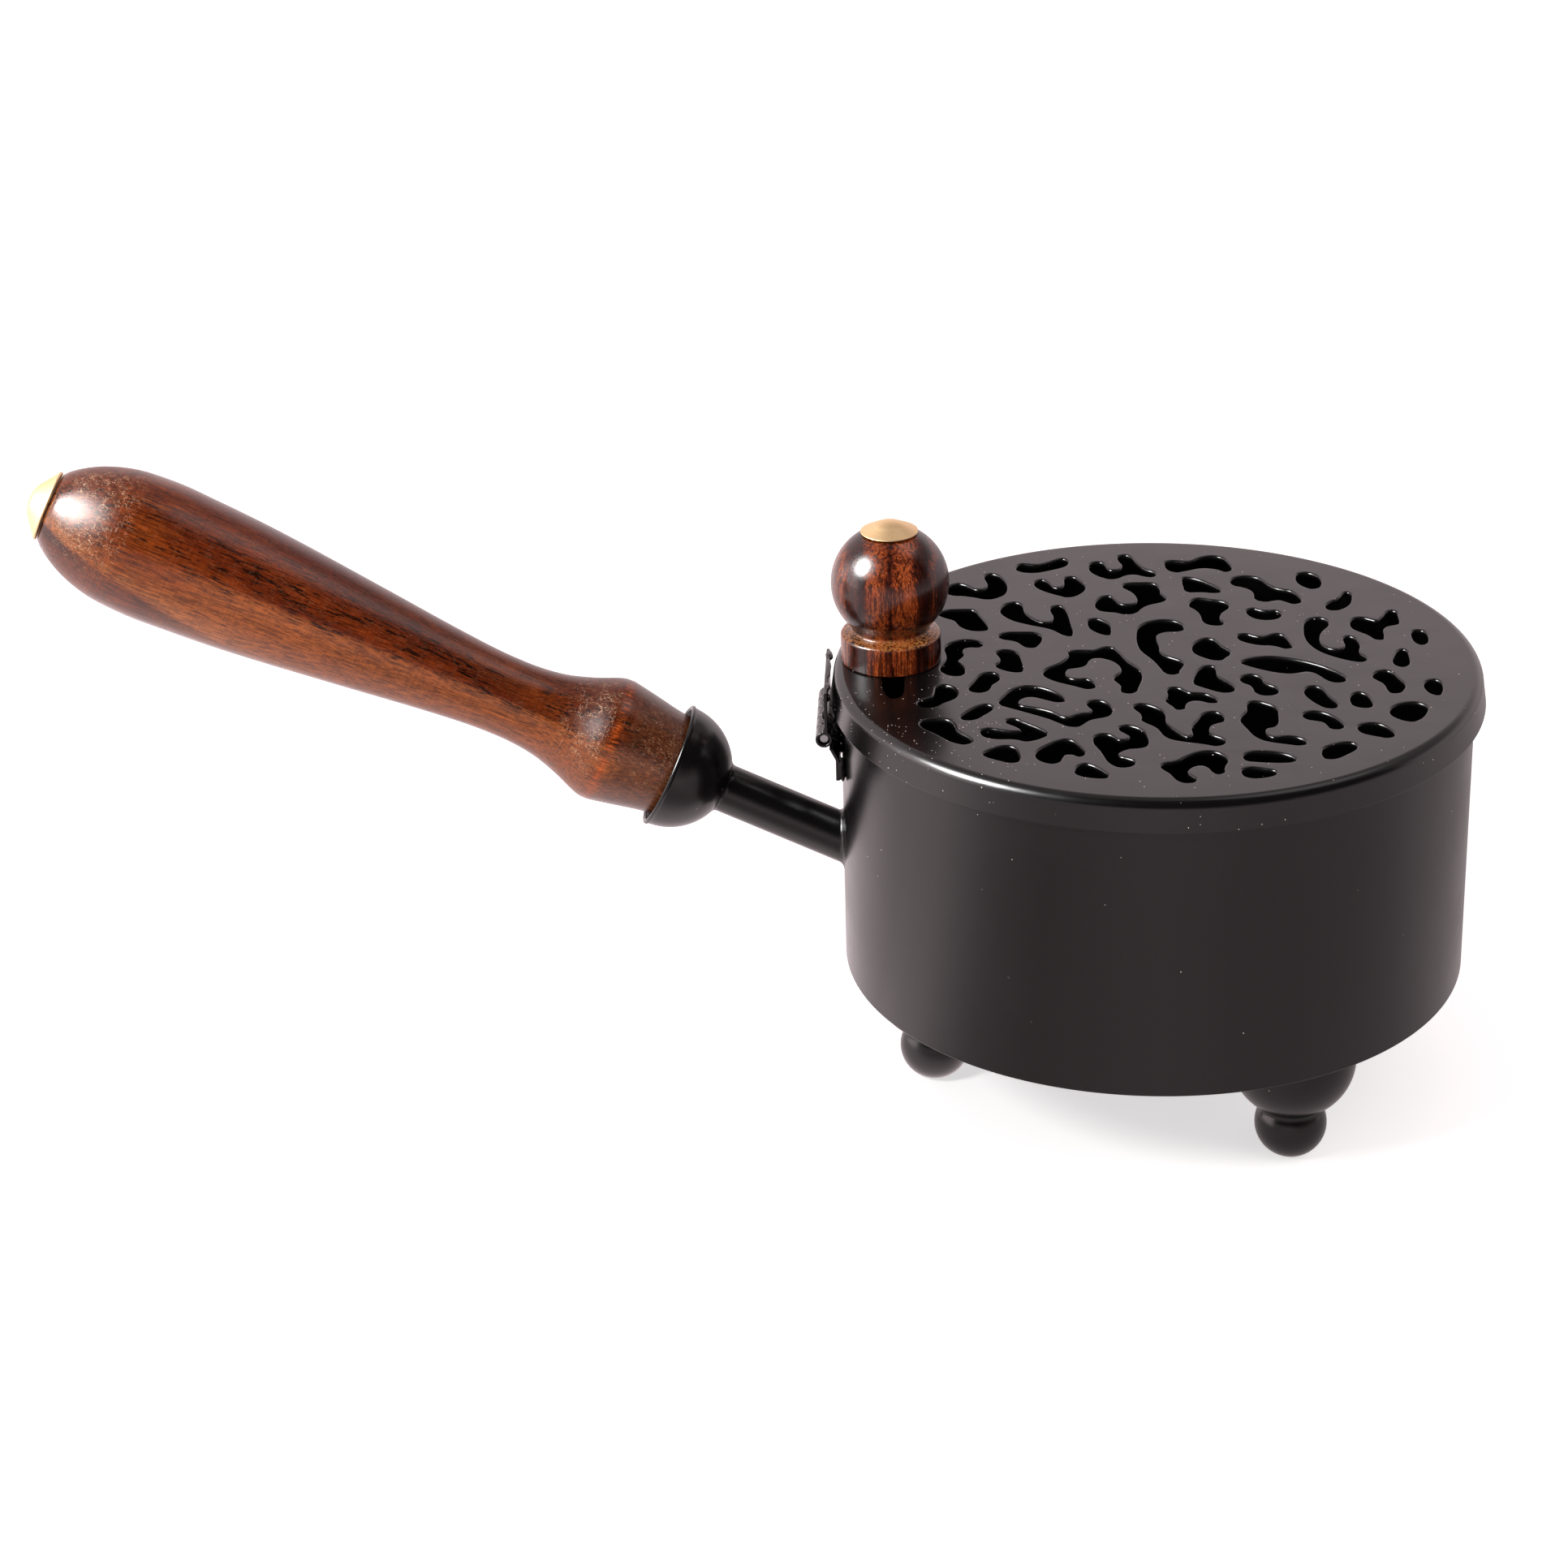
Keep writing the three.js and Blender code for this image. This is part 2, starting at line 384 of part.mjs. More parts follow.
// One foot: a small ball under a larger one that is cut flat at the top, drilled for its screw
function makeFoot(index) {
  const lowCentre = footLowerBall - footFlatDepth;
  const highCentre = lowCentre + footBallSpacing;
  const square = footBallSpacing ** 2 + footLowerBall ** 2 - footUpperBall ** 2;
  const meetHeight = square / (2 * footBallSpacing); // of the two balls, above the lower centre
  const meetLow = Math.asin(meetHeight / footLowerBall);
  const meetHigh = Math.asin((meetHeight - footBallSpacing) / footUpperBall);
  const flatAngle = -Math.asin(lowCentre / footLowerBall);
  const topAngle = Math.asin((footHeight - highCentre) / footUpperBall);
  const holeRadius = footScrew.shank + screwClearance;
  const holeFloor = footHeight - footScrewDepth - screwClearance;
  const profile = [
    [0, 0],
    ...arc(0, lowCentre, footLowerBall, flatAngle, meetLow, ballSteps),
    ...arc(0, highCentre, footUpperBall, meetHigh, topAngle, ballSteps).slice(1),
    [holeRadius, footHeight],
    [holeRadius, holeFloor],
    [0, holeFloor],
  ];
  const foot = part(`foot_${index + 1}`, turned(profile, footFacets), blackPaint);
  foot.position.copy(footPlace(index));
  return foot;
}

// Round-headed screw with its head's underside at z = 0 and its shank below
function screwGeometry(size, length) {
  const shank = [[0, -length], [size.shank, -length], [size.shank, 0]];
  return turned([...shank, ...dome(size.head, 0, size.headHeight)], smallFacets);
}

function makeFootScrew(index) {
  const length = baseSheet + footScrewDepth;
  const screw = part(`foot_screw_${index + 1}`, screwGeometry(footScrew, length), plainSteel);
  screw.position.copy(footPlace(index)).setZ(baseTop);
  return screw;
}

// One leopard spot as a smooth closed outline, sized with the lid's flat top
function spotShape(numbers) {
  const scale = lidFlatRadius / spotFieldRadius;
  const through = [];
  for (let i = 0; i < numbers.length; i += 2) {
    through.push(new THREE.Vector3(numbers[i] * scale, numbers[i + 1] * scale, 0));
  }
  const curve = new THREE.CatmullRomCurve3(through, true, "centripetal");
  const facets = Math.max(spotLeastFacets, Math.round(curve.getLength() / spotFacet));
  const outline = curve.getSpacedPoints(facets).slice(0, -1);
  return new THREE.Shape(outline.map((point) => new THREE.Vector2(point.x, point.y)));
}

// Pressed cap with the spots pierced through its flat top and a hole for the knob's screw
function makeLidShell() {
  const innerRadius = lidRadius - lidSheet;
  const innerCorner = lidCorner - lidSheet;
  const cornerHeight = lidTop - lidCorner;
  const skirtEnd = lidTop - lidHeight;
  const profile = [
    [innerRadius, skirtEnd],
    [lidRadius, skirtEnd],
    ...arc(lidFlatRadius, cornerHeight, lidCorner, 0, quarterTurn, cornerSteps),
    [0, lidTop],
    [0, lidUnder],
    ...arc(lidFlatRadius, cornerHeight, innerCorner, quarterTurn, 0, cornerSteps),
    [innerRadius, skirtEnd],
  ];
  let shell = solid(turned(profile, panFacets));
  for (const numbers of leopardSpots) {
    const depth = lidSheet + 2 * cutOver;
    const cutter = new THREE.ExtrudeGeometry(spotShape(numbers), { depth, bevelEnabled: false });
    cutter.translate(0, 0, lidUnder - cutOver);
    shell = shell.subtract(solid(cutter));
  }
  const screwRadius = knobScrew.shank + screwClearance;
  const screwHole = bar(screwRadius, lidUnder - cutOver, lidTop + cutOver, smallFacets);
  screwHole.translate(knobX, knobY, 0);
  shell = shell.subtract(solid(screwHole));
  return part("lid_shell", geometryOf(shell), blackPaint);
}

// The hinge is drawn in its own frame: x towards the pan's axis, y along the pin and z up,
// with the middle of the pin at the origin
function hingeFrame() {
  const frame = new THREE.Group();
  frame.position.set(-hingeRadius, 0, hingeHeight);
  return frame;
}

// Where knuckle number index starts and ends along the pin
function knuckleSpan(index) {
  const pitch = (hingeLength + knuckleGap) / hingeKnuckles;
  const from = index * pitch - hingeLength / 2;
  return [from, from + pitch - knuckleGap];
}

function barrel(radius, from, to) {
  return solid(bar(radius, from, to, footFacets).rotateX(-quarterTurn));
}

// A leaf bent to an outline in x and z. Its own knuckles are every other one from firstKnuckle,
// and it is cut back round the others, on the pin's side of edgeHeight
function makeLeaf(name, outline, firstKnuckle, edgeHeight, holeHeight) {
  const bend = new THREE.Shape(outline.map(([x, z]) => new THREE.Vector2(x, z)));
  const strip = new THREE.ExtrudeGeometry(bend, { depth: hingeLength, bevelEnabled: false });
  strip.rotateX(quarterTurn).translate(0, hingeLength / 2, 0);
  let leaf = solid(strip);
  const notchHeight = 2 * Math.abs(edgeHeight);
  for (let index = 0; index < hingeKnuckles; index += 1) {
    const [from, to] = knuckleSpan(index);
    if (index % 2 === firstKnuckle) {
      leaf = leaf.add(barrel(knuckleRadius, from, to));
    } else {
      const low = knuckleSpan(index - 1)[1];
      const high = knuckleSpan(index + 1)[0];
      const notch = new THREE.BoxGeometry(4 * knuckleRadius, high - low, notchHeight);
      notch.translate(0, (low + high) / 2, edgeHeight - (Math.sign(edgeHeight) * notchHeight) / 2);
      leaf = leaf.subtract(solid(notch));
    }
  }
  for (const side of [-1, 1]) {
    const hole = bar(leafHoleRadius, -hingeRadius, hingeRadius, smallFacets).rotateY(quarterTurn);
    hole.translate(0, (side * leafHoleSpacing) / 2, holeHeight);
    leaf = leaf.subtract(solid(hole));
  }
  leaf = leaf.subtract(barrel(knuckleBore, -hingeLength, hingeLength));
  return part(name, geometryOf(leaf), blackPaint);
}

// Flat leaf that stands against the lid's skirt
function makeHingeLidLeaf() {
  const outline = [
    [lidLeafInset - hingeSheet, 0],
    [lidLeafInset, 0],
    [lidLeafInset, lidLeafReach],
    [lidLeafInset - hingeSheet, lidLeafReach],
  ];
  const edge = knuckleRadius + knuckleGap;
  return makeLeaf("hinge_lid_leaf", outline, 0, edge, lidLeafReach - leafHoleInset);
}

// Cranked leaf that leaves the barrel on its inner side and lies on the wall
function makeHingePanLeaf() {
  const wallFace = hingeRadius - panRadius - hingeStandoff;
  const [crankTop, crankFoot] = panLeafCrank;
  const outline = [
    [knuckleRadius - hingeSheet, 0],
    [knuckleRadius - hingeSheet, -crankTop],
    [wallFace - hingeSheet, -crankFoot],
    [wallFace - hingeSheet, -panLeafReach],
    [wallFace, -panLeafReach],
    [wallFace, -crankFoot],
    [knuckleRadius, -crankTop],
    [knuckleRadius, 0],
  ];
  const edge = -(knuckleRadius + knuckleGap);
  return makeLeaf("hinge_pan_leaf", outline, 1, edge, leafHoleInset - panLeafReach);
}

function makeHingePin() {
  const half = hingeLength / 2 - pinRecess;
  return part("hinge_pin", bar(pinRadius, -half, half, smallFacets).rotateX(-quarterTurn), plainSteel);
}

// Frame of the handle: +Z runs outwards along the handle from the wall
function handleFrame() {
  const frame = new THREE.Group();
  frame.position.set(-panRadius, 0, footHeight + neckHeight);
  frame.rotation.y = handleTilt - quarterTurn;
  return frame;
}

// Bar from the wall to the cup. A weld's fillet runs round it where it meets the wall: it is turned
// square to the bar and then sheared, so that it lies along the upright wall
function makeHandleNeck() {
  const root = 2 * neckRadius;
  const seat = neckReach + cupRadius;
  const flare = neckRadius + neckWeld;
  const profile = [
    [0, -root],
    [flare, -root],
    ...arc(flare, neckWeld, neckWeld, -quarterTurn, -2 * quarterTurn, cornerSteps),
    [neckRadius, seat],
    [0, seat],
  ];
  const upright = new THREE.Matrix4().makeShear(0, Math.tan(handleTilt), 0, 0, 0, 0);
  let neck = solid(turned(profile, footFacets).applyMatrix4(upright));
  const wall = bar(panRadius + weldGap, -2 * root, 2 * root, 2 * panFacets);
  neck = neck.subtract(solid(wall.applyMatrix4(panInHandleFrame())));
  const ball = new THREE.SphereGeometry(cupRadius + weldGap, 2 * woodFacets, woodFacets);
  neck = neck.subtract(solid(ball.rotateX(quarterTurn).translate(0, 0, seat)));
  const tapFloor = neckReach - rodGrip - rodClearance;
  neck = neck.subtract(solid(bar(rodRadius + rodClearance, tapFloor, seat + cutOver, smallFacets)));
  return part("handle_neck", geometryOf(neck), blackPaint);
}

// Where the pan's axis lies, seen from the handle's frame
function panInHandleFrame() {
  const turn = new THREE.Matrix4().makeRotationY(quarterTurn - handleTilt);
  const place = new THREE.Matrix4().makeTranslation(panRadius, 0, 0);
  return turn.multiply(place);
}

// Half-ball cup that caps the wood, with a hole for the rod in its pole
function makeHandleCup() {
  const centre = neckReach + cupRadius;
  const hole = rodRadius + rodClearance;
  const inner = cupRadius - cupSheet;
  const outerPole = -Math.acos(hole / cupRadius);
  const innerPole = -Math.acos(hole / inner);
  const profile = [
    ...arc(0, centre, cupRadius, outerPole, 0, ballSteps),
    [cupRadius, cupRimAt],
    [inner, cupRimAt],
    ...arc(0, centre, inner, 0, innerPole, ballSteps),
    [hole, centre + cupRadius * Math.sin(outerPole)],
  ];
  return part("handle_cup", turned(profile, woodFacets), blackPaint);
}

// Turned wooden grip: a rounded end inside the cup, a collar, a waist, a belly and a round butt
function makeHandleGrip() {
  const bore = rodRadius + rodClearance;
  const mouthRadius = cupRadius - cupSheet - mouthClearance;
  const domeRadius = cupRadius - cupSheet - woodClearance;
  const domeCentre = neckReach + cupRadius;
  const tipAngle = -Math.acos(bore / domeRadius);
  const mouthAngle = -Math.acos(mouthRadius / domeRadius);
  const placed = ([along, radius]) => new THREE.Vector2(radius, cupRimAt + along);
  const flareLine = [[0, mouthRadius], ...gripFlare, gripCollar].map(placed);
  const bodyLine = [gripCollar, ...gripBody].map(placed);
  const flare = new THREE.SplineCurve(flareLine).getPoints(gripFlareSteps);
  const body = new THREE.SplineCurve(bodyLine).getPoints(gripSteps);
  const profile = [
    ...arc(0, domeCentre, domeRadius, tipAngle, mouthAngle, cornerSteps),
    ...[...flare, ...body.slice(1)].map((point) => [point.x, point.y]),
    [bore, gripEndAt],
    [bore, domeCentre + domeRadius * Math.sin(tipAngle)],
  ];
  return part("handle_grip", turned(profile, woodFacets), polishedWood);
}

// Rod that draws the cup, the wood and the end cap together
function makeTieRod() {
  const from = neckReach - rodGrip;
  const to = gripEndAt + endCapSeat + endCap.bore - rodClearance;
  return part("handle_tie_rod", bar(rodRadius, from, to, smallFacets), plainSteel);
}

// Turned brass cap nut with its face at z = 0, a coned flank, a rounded top and a blind hole
function capGeometry(size, holeRadius) {
  const profile = [
    [holeRadius, 0],
    [size.radius, 0],
    [size.radius, size.edge],
    ...dome(size.topRadius, size.flank, size.height - size.flank),
    [0, size.bore],
    [holeRadius, size.bore],
    [holeRadius, 0],
  ];
  return turned(profile, woodFacets);
}

function makeEndCap() {
  const cap = part("handle_end_cap", capGeometry(endCap, rodRadius + rodClearance), satinBrass);
  cap.position.z = gripEndAt + endCapSeat;
  return cap;
}

// Height of the flat that carries the brass cap on the knob's ball
function knobFlatHeight() {
  const seatRadius = knobCap.radius - knobCapOverhang;
  return knobBallHeight + Math.sqrt(knobBallRadius ** 2 - seatRadius ** 2);
}

// Turned knob: a straight base, a cove and a ball, drilled through for its screw
function makeKnob() {
  const bore = knobScrew.shank + screwClearance;
  const flat = knobFlatHeight();
  const topAngle = Math.asin((flat - knobBallHeight) / knobBallRadius);
  const lowAngle = -Math.acos((knobCoveRadius + knobUndercut) / knobBallRadius);
  const profile = [
    [bore, 0],
    [knobBaseRadius - knobBaseEdge, 0],
    [knobBaseRadius, knobBaseEdge],
    [knobBaseRadius, knobBaseHeight - knobBaseEdge],
    [knobBaseRadius - knobBaseEdge, knobBaseHeight],
    [knobCoveRadius, knobBaseHeight + knobCoveRise],
    ...arc(0, knobBallHeight, knobBallRadius, lowAngle, topAngle, ballSteps),
    [bore, flat],
    [bore, 0],
  ];
  const knob = part("lid_knob", turned(profile, woodFacets), polishedWood);
  knob.position.set(knobX, knobY, lidTop);
  return knob;
}

function makeKnobCap() {
  const cap = part("knob_cap", capGeometry(knobCap, knobScrew.shank + screwClearance), satinBrass);
  cap.position.set(knobX, knobY, lidTop + knobFlatHeight() + knobCapSeat);
  return cap;
}

// Screw from under the lid, through the knob and into its cap
function makeKnobScrew() {
  const length = lidSheet + knobFlatHeight() + knobCapSeat + knobCap.bore - screwClearance;
  const geometry = screwGeometry(knobScrew, length).rotateX(Math.PI);
  const screw = part("knob_screw", geometry, plainSteel);
  screw.position.set(knobX, knobY, lidUnder);
  return screw;
}

const pan = new THREE.Group();
pan.add(makePanWall(), makePanBase());
for (let index = 0; index < footCount; index += 1) {
  pan.add(makeFoot(index), makeFootScrew(index));
}
const panHinge = hingeFrame();
panHinge.add(makeHingePanLeaf(), makeHingePin());
const handle = handleFrame();
handle.add(makeHandleNeck(), makeHandleCup(), makeHandleGrip(), makeTieRod(), makeEndCap());
pan.add(panHinge, handle);

const lid = new THREE.Group();
const lidHinge = hingeFrame();
lidHinge.add(makeHingeLidLeaf());
lid.add(makeLidShell(), makeKnob(), makeKnobCap(), makeKnobScrew(), lidHinge);

// The whole stands with the middle of its footprint's box over the origin
const incensePan = new THREE.Group();
incensePan.add(pan, lid);
const reach = new THREE.Box3().setFromObject(incensePan, true);
incensePan.position.x = -(reach.min.x + reach.max.x) / 2;

export default incensePan;
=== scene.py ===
import math

import bmesh
import bpy
from mathutils import Matrix, Vector, noise
from mathutils.geometry import tessellate_polygon


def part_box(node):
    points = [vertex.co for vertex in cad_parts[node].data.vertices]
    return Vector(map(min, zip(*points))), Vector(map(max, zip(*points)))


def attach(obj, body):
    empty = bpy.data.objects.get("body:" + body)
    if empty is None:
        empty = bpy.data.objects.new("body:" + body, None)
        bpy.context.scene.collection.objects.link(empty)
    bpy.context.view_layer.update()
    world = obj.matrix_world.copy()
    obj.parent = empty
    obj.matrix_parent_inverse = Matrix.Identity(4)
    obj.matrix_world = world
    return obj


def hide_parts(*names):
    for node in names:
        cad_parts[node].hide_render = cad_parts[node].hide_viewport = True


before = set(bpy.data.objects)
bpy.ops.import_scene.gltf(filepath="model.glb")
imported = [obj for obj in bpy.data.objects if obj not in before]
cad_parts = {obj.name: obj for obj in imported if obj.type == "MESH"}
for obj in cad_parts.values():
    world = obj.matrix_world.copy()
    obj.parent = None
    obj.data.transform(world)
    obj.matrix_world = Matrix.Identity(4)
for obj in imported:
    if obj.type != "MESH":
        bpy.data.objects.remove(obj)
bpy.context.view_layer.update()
scene = bpy.context.scene
print("frame loaded:", len(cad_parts), "nodes")

# All sizes below are millimetres; makePiece turns them to metres
mm = 0.001
fullTurn = 2 * math.pi
quarterTurn = math.pi / 2


def boxInMm(node):
    low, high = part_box(node)
    return low / mm, high / mm


# The middle of a node's box, seen from above, at a height
def middleOf(node, height):
    low, high = boxInMm(node)
    return Vector(((low.x + high.x) / 2, (low.y + high.y) / 2, height))


# Places taken from the frame
wallLow, wallHigh = boxInMm("pan_wall")
baseLow, baseHigh = boxInMm("pan_base")
lidLow, lidHigh = boxInMm("lid_shell")
pinLow, pinHigh = boxInMm("hinge_pin")
panRadius = (wallHigh.y - wallLow.y) / 2
lidRadius = (lidHigh.y - lidLow.y) / 2
panMiddle = Vector(((wallLow.x + wallHigh.x) / 2, 0, 0))
panPlace = Matrix.Translation(panMiddle)
knobMiddle = middleOf("lid_knob", lidHigh.z)


# Angles of points that go once round
def turns(steps):
    return [fullTurn * step / steps for step in range(steps)]


# Faces that join rows of point numbers, each row going once round
def skin(rows):
    faces = []
    for low, high in zip(rows, rows[1:]):
        for step in range(len(low)):
            after = (step + 1) % len(low)
            face = list(dict.fromkeys([low[step], low[after], high[after], high[step]]))
            if len(face) > 2:
                faces.append(face)
    return faces


# A shape, which is a list of points and one of faces, from rings of points. A ring of one point
# closes an end
def lofted(rings, closed=False, flatEnds=False):
    points, rows = [], []
    steps = max(len(ring) for ring in rings)
    for ring in rings:
        start = len(points)
        rows.append([start] * steps if len(ring) == 1 else range(start, start + steps))
        points += ring
    faces = skin(rows + rows[:1] if closed else rows)
    if flatEnds:
        faces += [rows[0][::-1], rows[-1]]
    return points, faces


# Turns a profile of (radius, height) points round +Z
def turned(profile, steps, closed=False):
    rings = []
    for radius, height in profile:
        angles = turns(steps) if radius > 1e-6 else [0]
        rings.append([(radius * math.cos(angle), radius * math.sin(angle), height) for angle in angles])
    return lofted(rings, closed)


# Points of a round stretch of a profile, angles in degrees from the outward radius
def arc(radius, height, size, fromAngle, toAngle, steps):
    points = []
    for step in range(steps + 1):
        angle = math.radians(fromAngle + (toAngle - fromAngle) * step / steps)
        points.append((radius + size * math.cos(angle), height + size * math.sin(angle)))
    return points


# Angle in degrees of the points on a ball that lie this high above its centre
def angleAt(height, size):
    return math.degrees(math.asin(height / size))


# Angle in degrees of the points on a ball that lie this far out from its axis
def angleOut(radius, size):
    return math.degrees(math.acos(radius / size))


# Rounds the corners of an outline whose points are (x, y) or (x, y, rounding)
cornerStep = math.radians(10)
mostOfSide = 0.49


def softened(corners, closed=True):
    points = []
    last = len(corners) - 1
    for index, corner in enumerate(corners):
        here = Vector(corner[:2])
        rounding = corner[2] if len(corner) > 2 else 0
        if rounding == 0 or (not closed and index in (0, last)):
            points.append(tuple(here))
            continue
        back = Vector(corners[index - 1][:2]) - here
        onward = Vector(corners[(index + 1) % len(corners)][:2]) - here
        bend = math.pi - back.angle(onward)
        reach = min(rounding * math.tan(bend / 2), mostOfSide * back.length, mostOfSide * onward.length)
        size = reach / math.tan(bend / 2)
        start = here + back.normalized() * reach
        middle = here + (back.normalized() + onward.normalized()).normalized() * (size / math.cos(bend / 2))
        turnsLeft = back.x * onward.y - back.y * onward.x < 0
        sweep = bend if turnsLeft else -bend
        first = math.atan2(start.y - middle.y, start.x - middle.x)
        steps = max(2, math.ceil(bend / cornerStep))
        for step in range(steps + 1):
            angle = first + sweep * step / steps
            points.append((middle.x + size * math.cos(angle), middle.y + size * math.sin(angle)))
    return points


# Smooth curve through points, open or closed, with a given number of steps between two of them. It
# blends its four nearest points three times, between these pairs of their knots
knotPairs = (((0, 1), (1, 2), (2, 3)), ((0, 2), (1, 3)), ((1, 2),))


def flowing(through, steps, closed=False):
    count = len(through)
    spans = count if closed else count - 1
    points = []
    for index in range(spans):
        near = [Vector(through[(index + shift) % count]) for shift in (-1, 0, 1, 2)]
        if not closed and index == 0:
            near[0] = near[1] * 2 - near[2]
        if not closed and index == spans - 1:
            near[3] = near[2] * 2 - near[1]
        knots = [0]
        for one, two in zip(near, near[1:]):
            knots.append(knots[-1] + max(1e-6, (two - one).length ** 0.5))
        for step in range(steps):
            at = knots[1] + (knots[2] - knots[1]) * step / steps
            row = near
            for pairs in knotPairs:
                shares = [(at - knots[low]) / (knots[high] - knots[low]) for low, high in pairs]
                row = [one * (1 - share) + two * share for one, two, share in zip(row, row[1:], shares)]
            points.append(tuple(row[0]))
    return points if closed else points + [tuple(through[-1])]


# One finished piece: smooth shaded and riding on its body. Its points are stored in place, so that
# its box is its own and every material is measured from the frame's origin
def makePiece(name, shape, place, material, body, replaced, hasFlats=True):
    points, faces = shape
    mesh = bpy.data.meshes.new(name)
    mesh.from_pydata([place @ Vector(point) * mm for point in points], [], faces)
    mesh.polygons.foreach_set("use_smooth", [True] * len(mesh.polygons))
    mesh.materials.append(material)
    mesh.update()
    piece = bpy.data.objects.new(name, mesh)
    scene.collection.objects.link(piece)
    if hasFlats:
        shading = piece.modifiers.new("flatsStayFlat", "WEIGHTED_NORMAL")
        shading.weight = 80
    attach(piece, body)
    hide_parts(*replaced)


# Materials

def linear(hexColour):
    values = [int(hexColour[start:start + 2], 16) / 255 for start in (1, 3, 5)]
    return [v / 12.92 if v <= 0.04045 else ((v + 0.055) / 1.055) ** 2.4 for v in values] + [1]


# Adds one node. It is given settings, values, and what feeds it: a socket, or a node for the first
# of its outputs that is in use
def add(tree, kind, given=None):
    node = tree.nodes.new("ShaderNode" + kind)
    for key, value in (given or {}).items():
        if isinstance(value, bpy.types.Node):
            value = next(socket for socket in value.outputs if socket.enabled)
        if isinstance(value, bpy.types.NodeSocket):
            tree.links.new(value, node.inputs[key])
        elif isinstance(key, int) or key in node.inputs:
            node.inputs[key].default_value = value
        else:
            setattr(node, key, value)
    return node


# An empty material, and the place on it in millimetres, seen from a piece's own frame
def newMaterial(name, place=Matrix.Identity(4)):
    material = bpy.data.materials.new(name)
    material.use_nodes = True
    tree = material.node_tree
    tree.nodes.clear()
    back = place.inverted()
    inMm = add(tree, "Mapping", {
        "Vector": add(tree, "TexCoord").outputs["Object"], "Scale": (1 / mm,) * 3,
        "Location": back.translation, "Rotation": back.to_euler()})
    return material, tree, inMm


def setRamp(ramp, stops):
    elements = ramp.color_ramp.elements
    elements.remove(elements[-1])
    for index, (position, colour) in enumerate(stops):
        element = elements[0] if index == 0 else elements.new(position)
        element.position = position
        element.color = colour


# Bumps on one another: what each is read from and how many millimetres it stands out
def bumps(tree, *layers):
    bump = None
    for height, depth in layers:
        given = {"Height": height, "Distance": depth * mm}
        bump = add(tree, "Bump", {**given, "Normal": bump} if bump else given)
    return bump


# Closes a material with its surface
def surfaced(material, tree, given):
    add(tree, "OutputMaterial", {"Surface": add(tree, "BsdfPrincipled", given)})
    return material


# A map range's own start and end
def span(ends):
    return {1: ends[0], 2: ends[1]}


# Marks of one size in millimetres, or three along x, y and z: 0 where a noise is low, 1 where high
def marks(tree, inMm, size, low=0.3, high=0.7, detail=3, roughness=0.6):
    sides = size if isinstance(size, tuple) else (size,) * 3
    drawnOut = add(tree, "Mapping", {"Vector": inMm, "Scale": [1 / side for side in sides]})
    uneven = add(tree, "TexNoise", {
        "Vector": drawnOut, "Scale": 1, "Detail": detail, "Roughness": roughness})
    return add(tree, "MapRange", {"interpolation_type": "SMOOTHSTEP", 0: uneven, 1: low, 2: high})


# All the marks that a look names
def marksOf(tree, inMm, look):
    return {name: marks(tree, inMm, **given) for name, given in look.items() if isinstance(given, dict)}


# 1 between the two middle distances and 0 outside the outer ones
def within(tree, value, ends):
    rise = add(tree, "MapRange", {0: value, **span(ends[:2])})
    fall = add(tree, "MapRange", {0: value, **span(ends[2:]), 3: 1, 4: 0})
    return add(tree, "Math", {"operation": "MINIMUM", 0: rise, 1: fall})


# Goes from low to high over the edge, as a direction comes to point the given way
def towards(tree, direction, way, edge, low, high):
    nearness = add(tree, "VectorMath", {"operation": "DOT_PRODUCT", 0: direction, 1: (*way, 0)})
    return add(tree, "MapRange", {0: nearness, **span(edge), 3: low, 4: high})


# Lays a colour over another one by the product of two shares
def laidOver(tree, under, colour, share, depth):
    both = add(tree, "Math", {"operation": "MULTIPLY", 0: share, 1: depth})
    return add(tree, "Mix", {"data_type": "RGBA", 0: both, 6: under, 7: linear(colour)})


# Growth rings of a wood: its colours by how far across them a point lies, wandering a little
def growthRings(tree, slow, look, across, origin=0):
    wandering = add(tree, "Math", {"operation": "MULTIPLY_ADD", 0: slow, 1: look["wander"], 2: across})
    first, last = look["rings"][0][0], look["rings"][-1][0]
    start = first + origin + look["wander"] / 2
    share = add(tree, "MapRange", {0: wandering, 1: start, 2: start + last - first})
    rings = add(tree, "ValToRGB", {0: share})
    setRamp(rings, [((at - first) / (last - first), linear(colour)) for at, colour in look["rings"]])
    return rings


# Satin black stoving enamel over sheet steel: so black that nearly all its light is mirrored from
# around it, a little blurred and uneven, with pale dust settled on it, thickest by the knob. Its
# grains are drawn a third coarser than real ones so that they show as dots
enamel = {
    "black": "#0b0a0a", "ior": 1.5, "roughness": 0.20, "cloudSpread": 0.07, "peelDepth": 0.0012,
    "waveDepth": 0.012, "cloud": {"size": 22, "detail": 4},
    "wave": {"size": 9, "low": 0.2, "high": 0.8, "detail": 1},
    "peel": {"size": 1.5, "low": 0.2, "high": 0.8, "detail": 2},
    "dust": "#f0e2d6", "dustRoughness": 0.85, "dustSpacing": 0.80, "dustGrain": 0.145,
    "dustPatch": {"size": 11, "low": 0.36, "high": 0.62},
    "gatherAt": (32, -34, 101.6), "gatherReach": (12, 38),
    # share of the dust cells that show a grain, and the same where the dust has gathered
    "panDust": (0.008, 0.008), "lidDust": (0.08, 0.6),
}


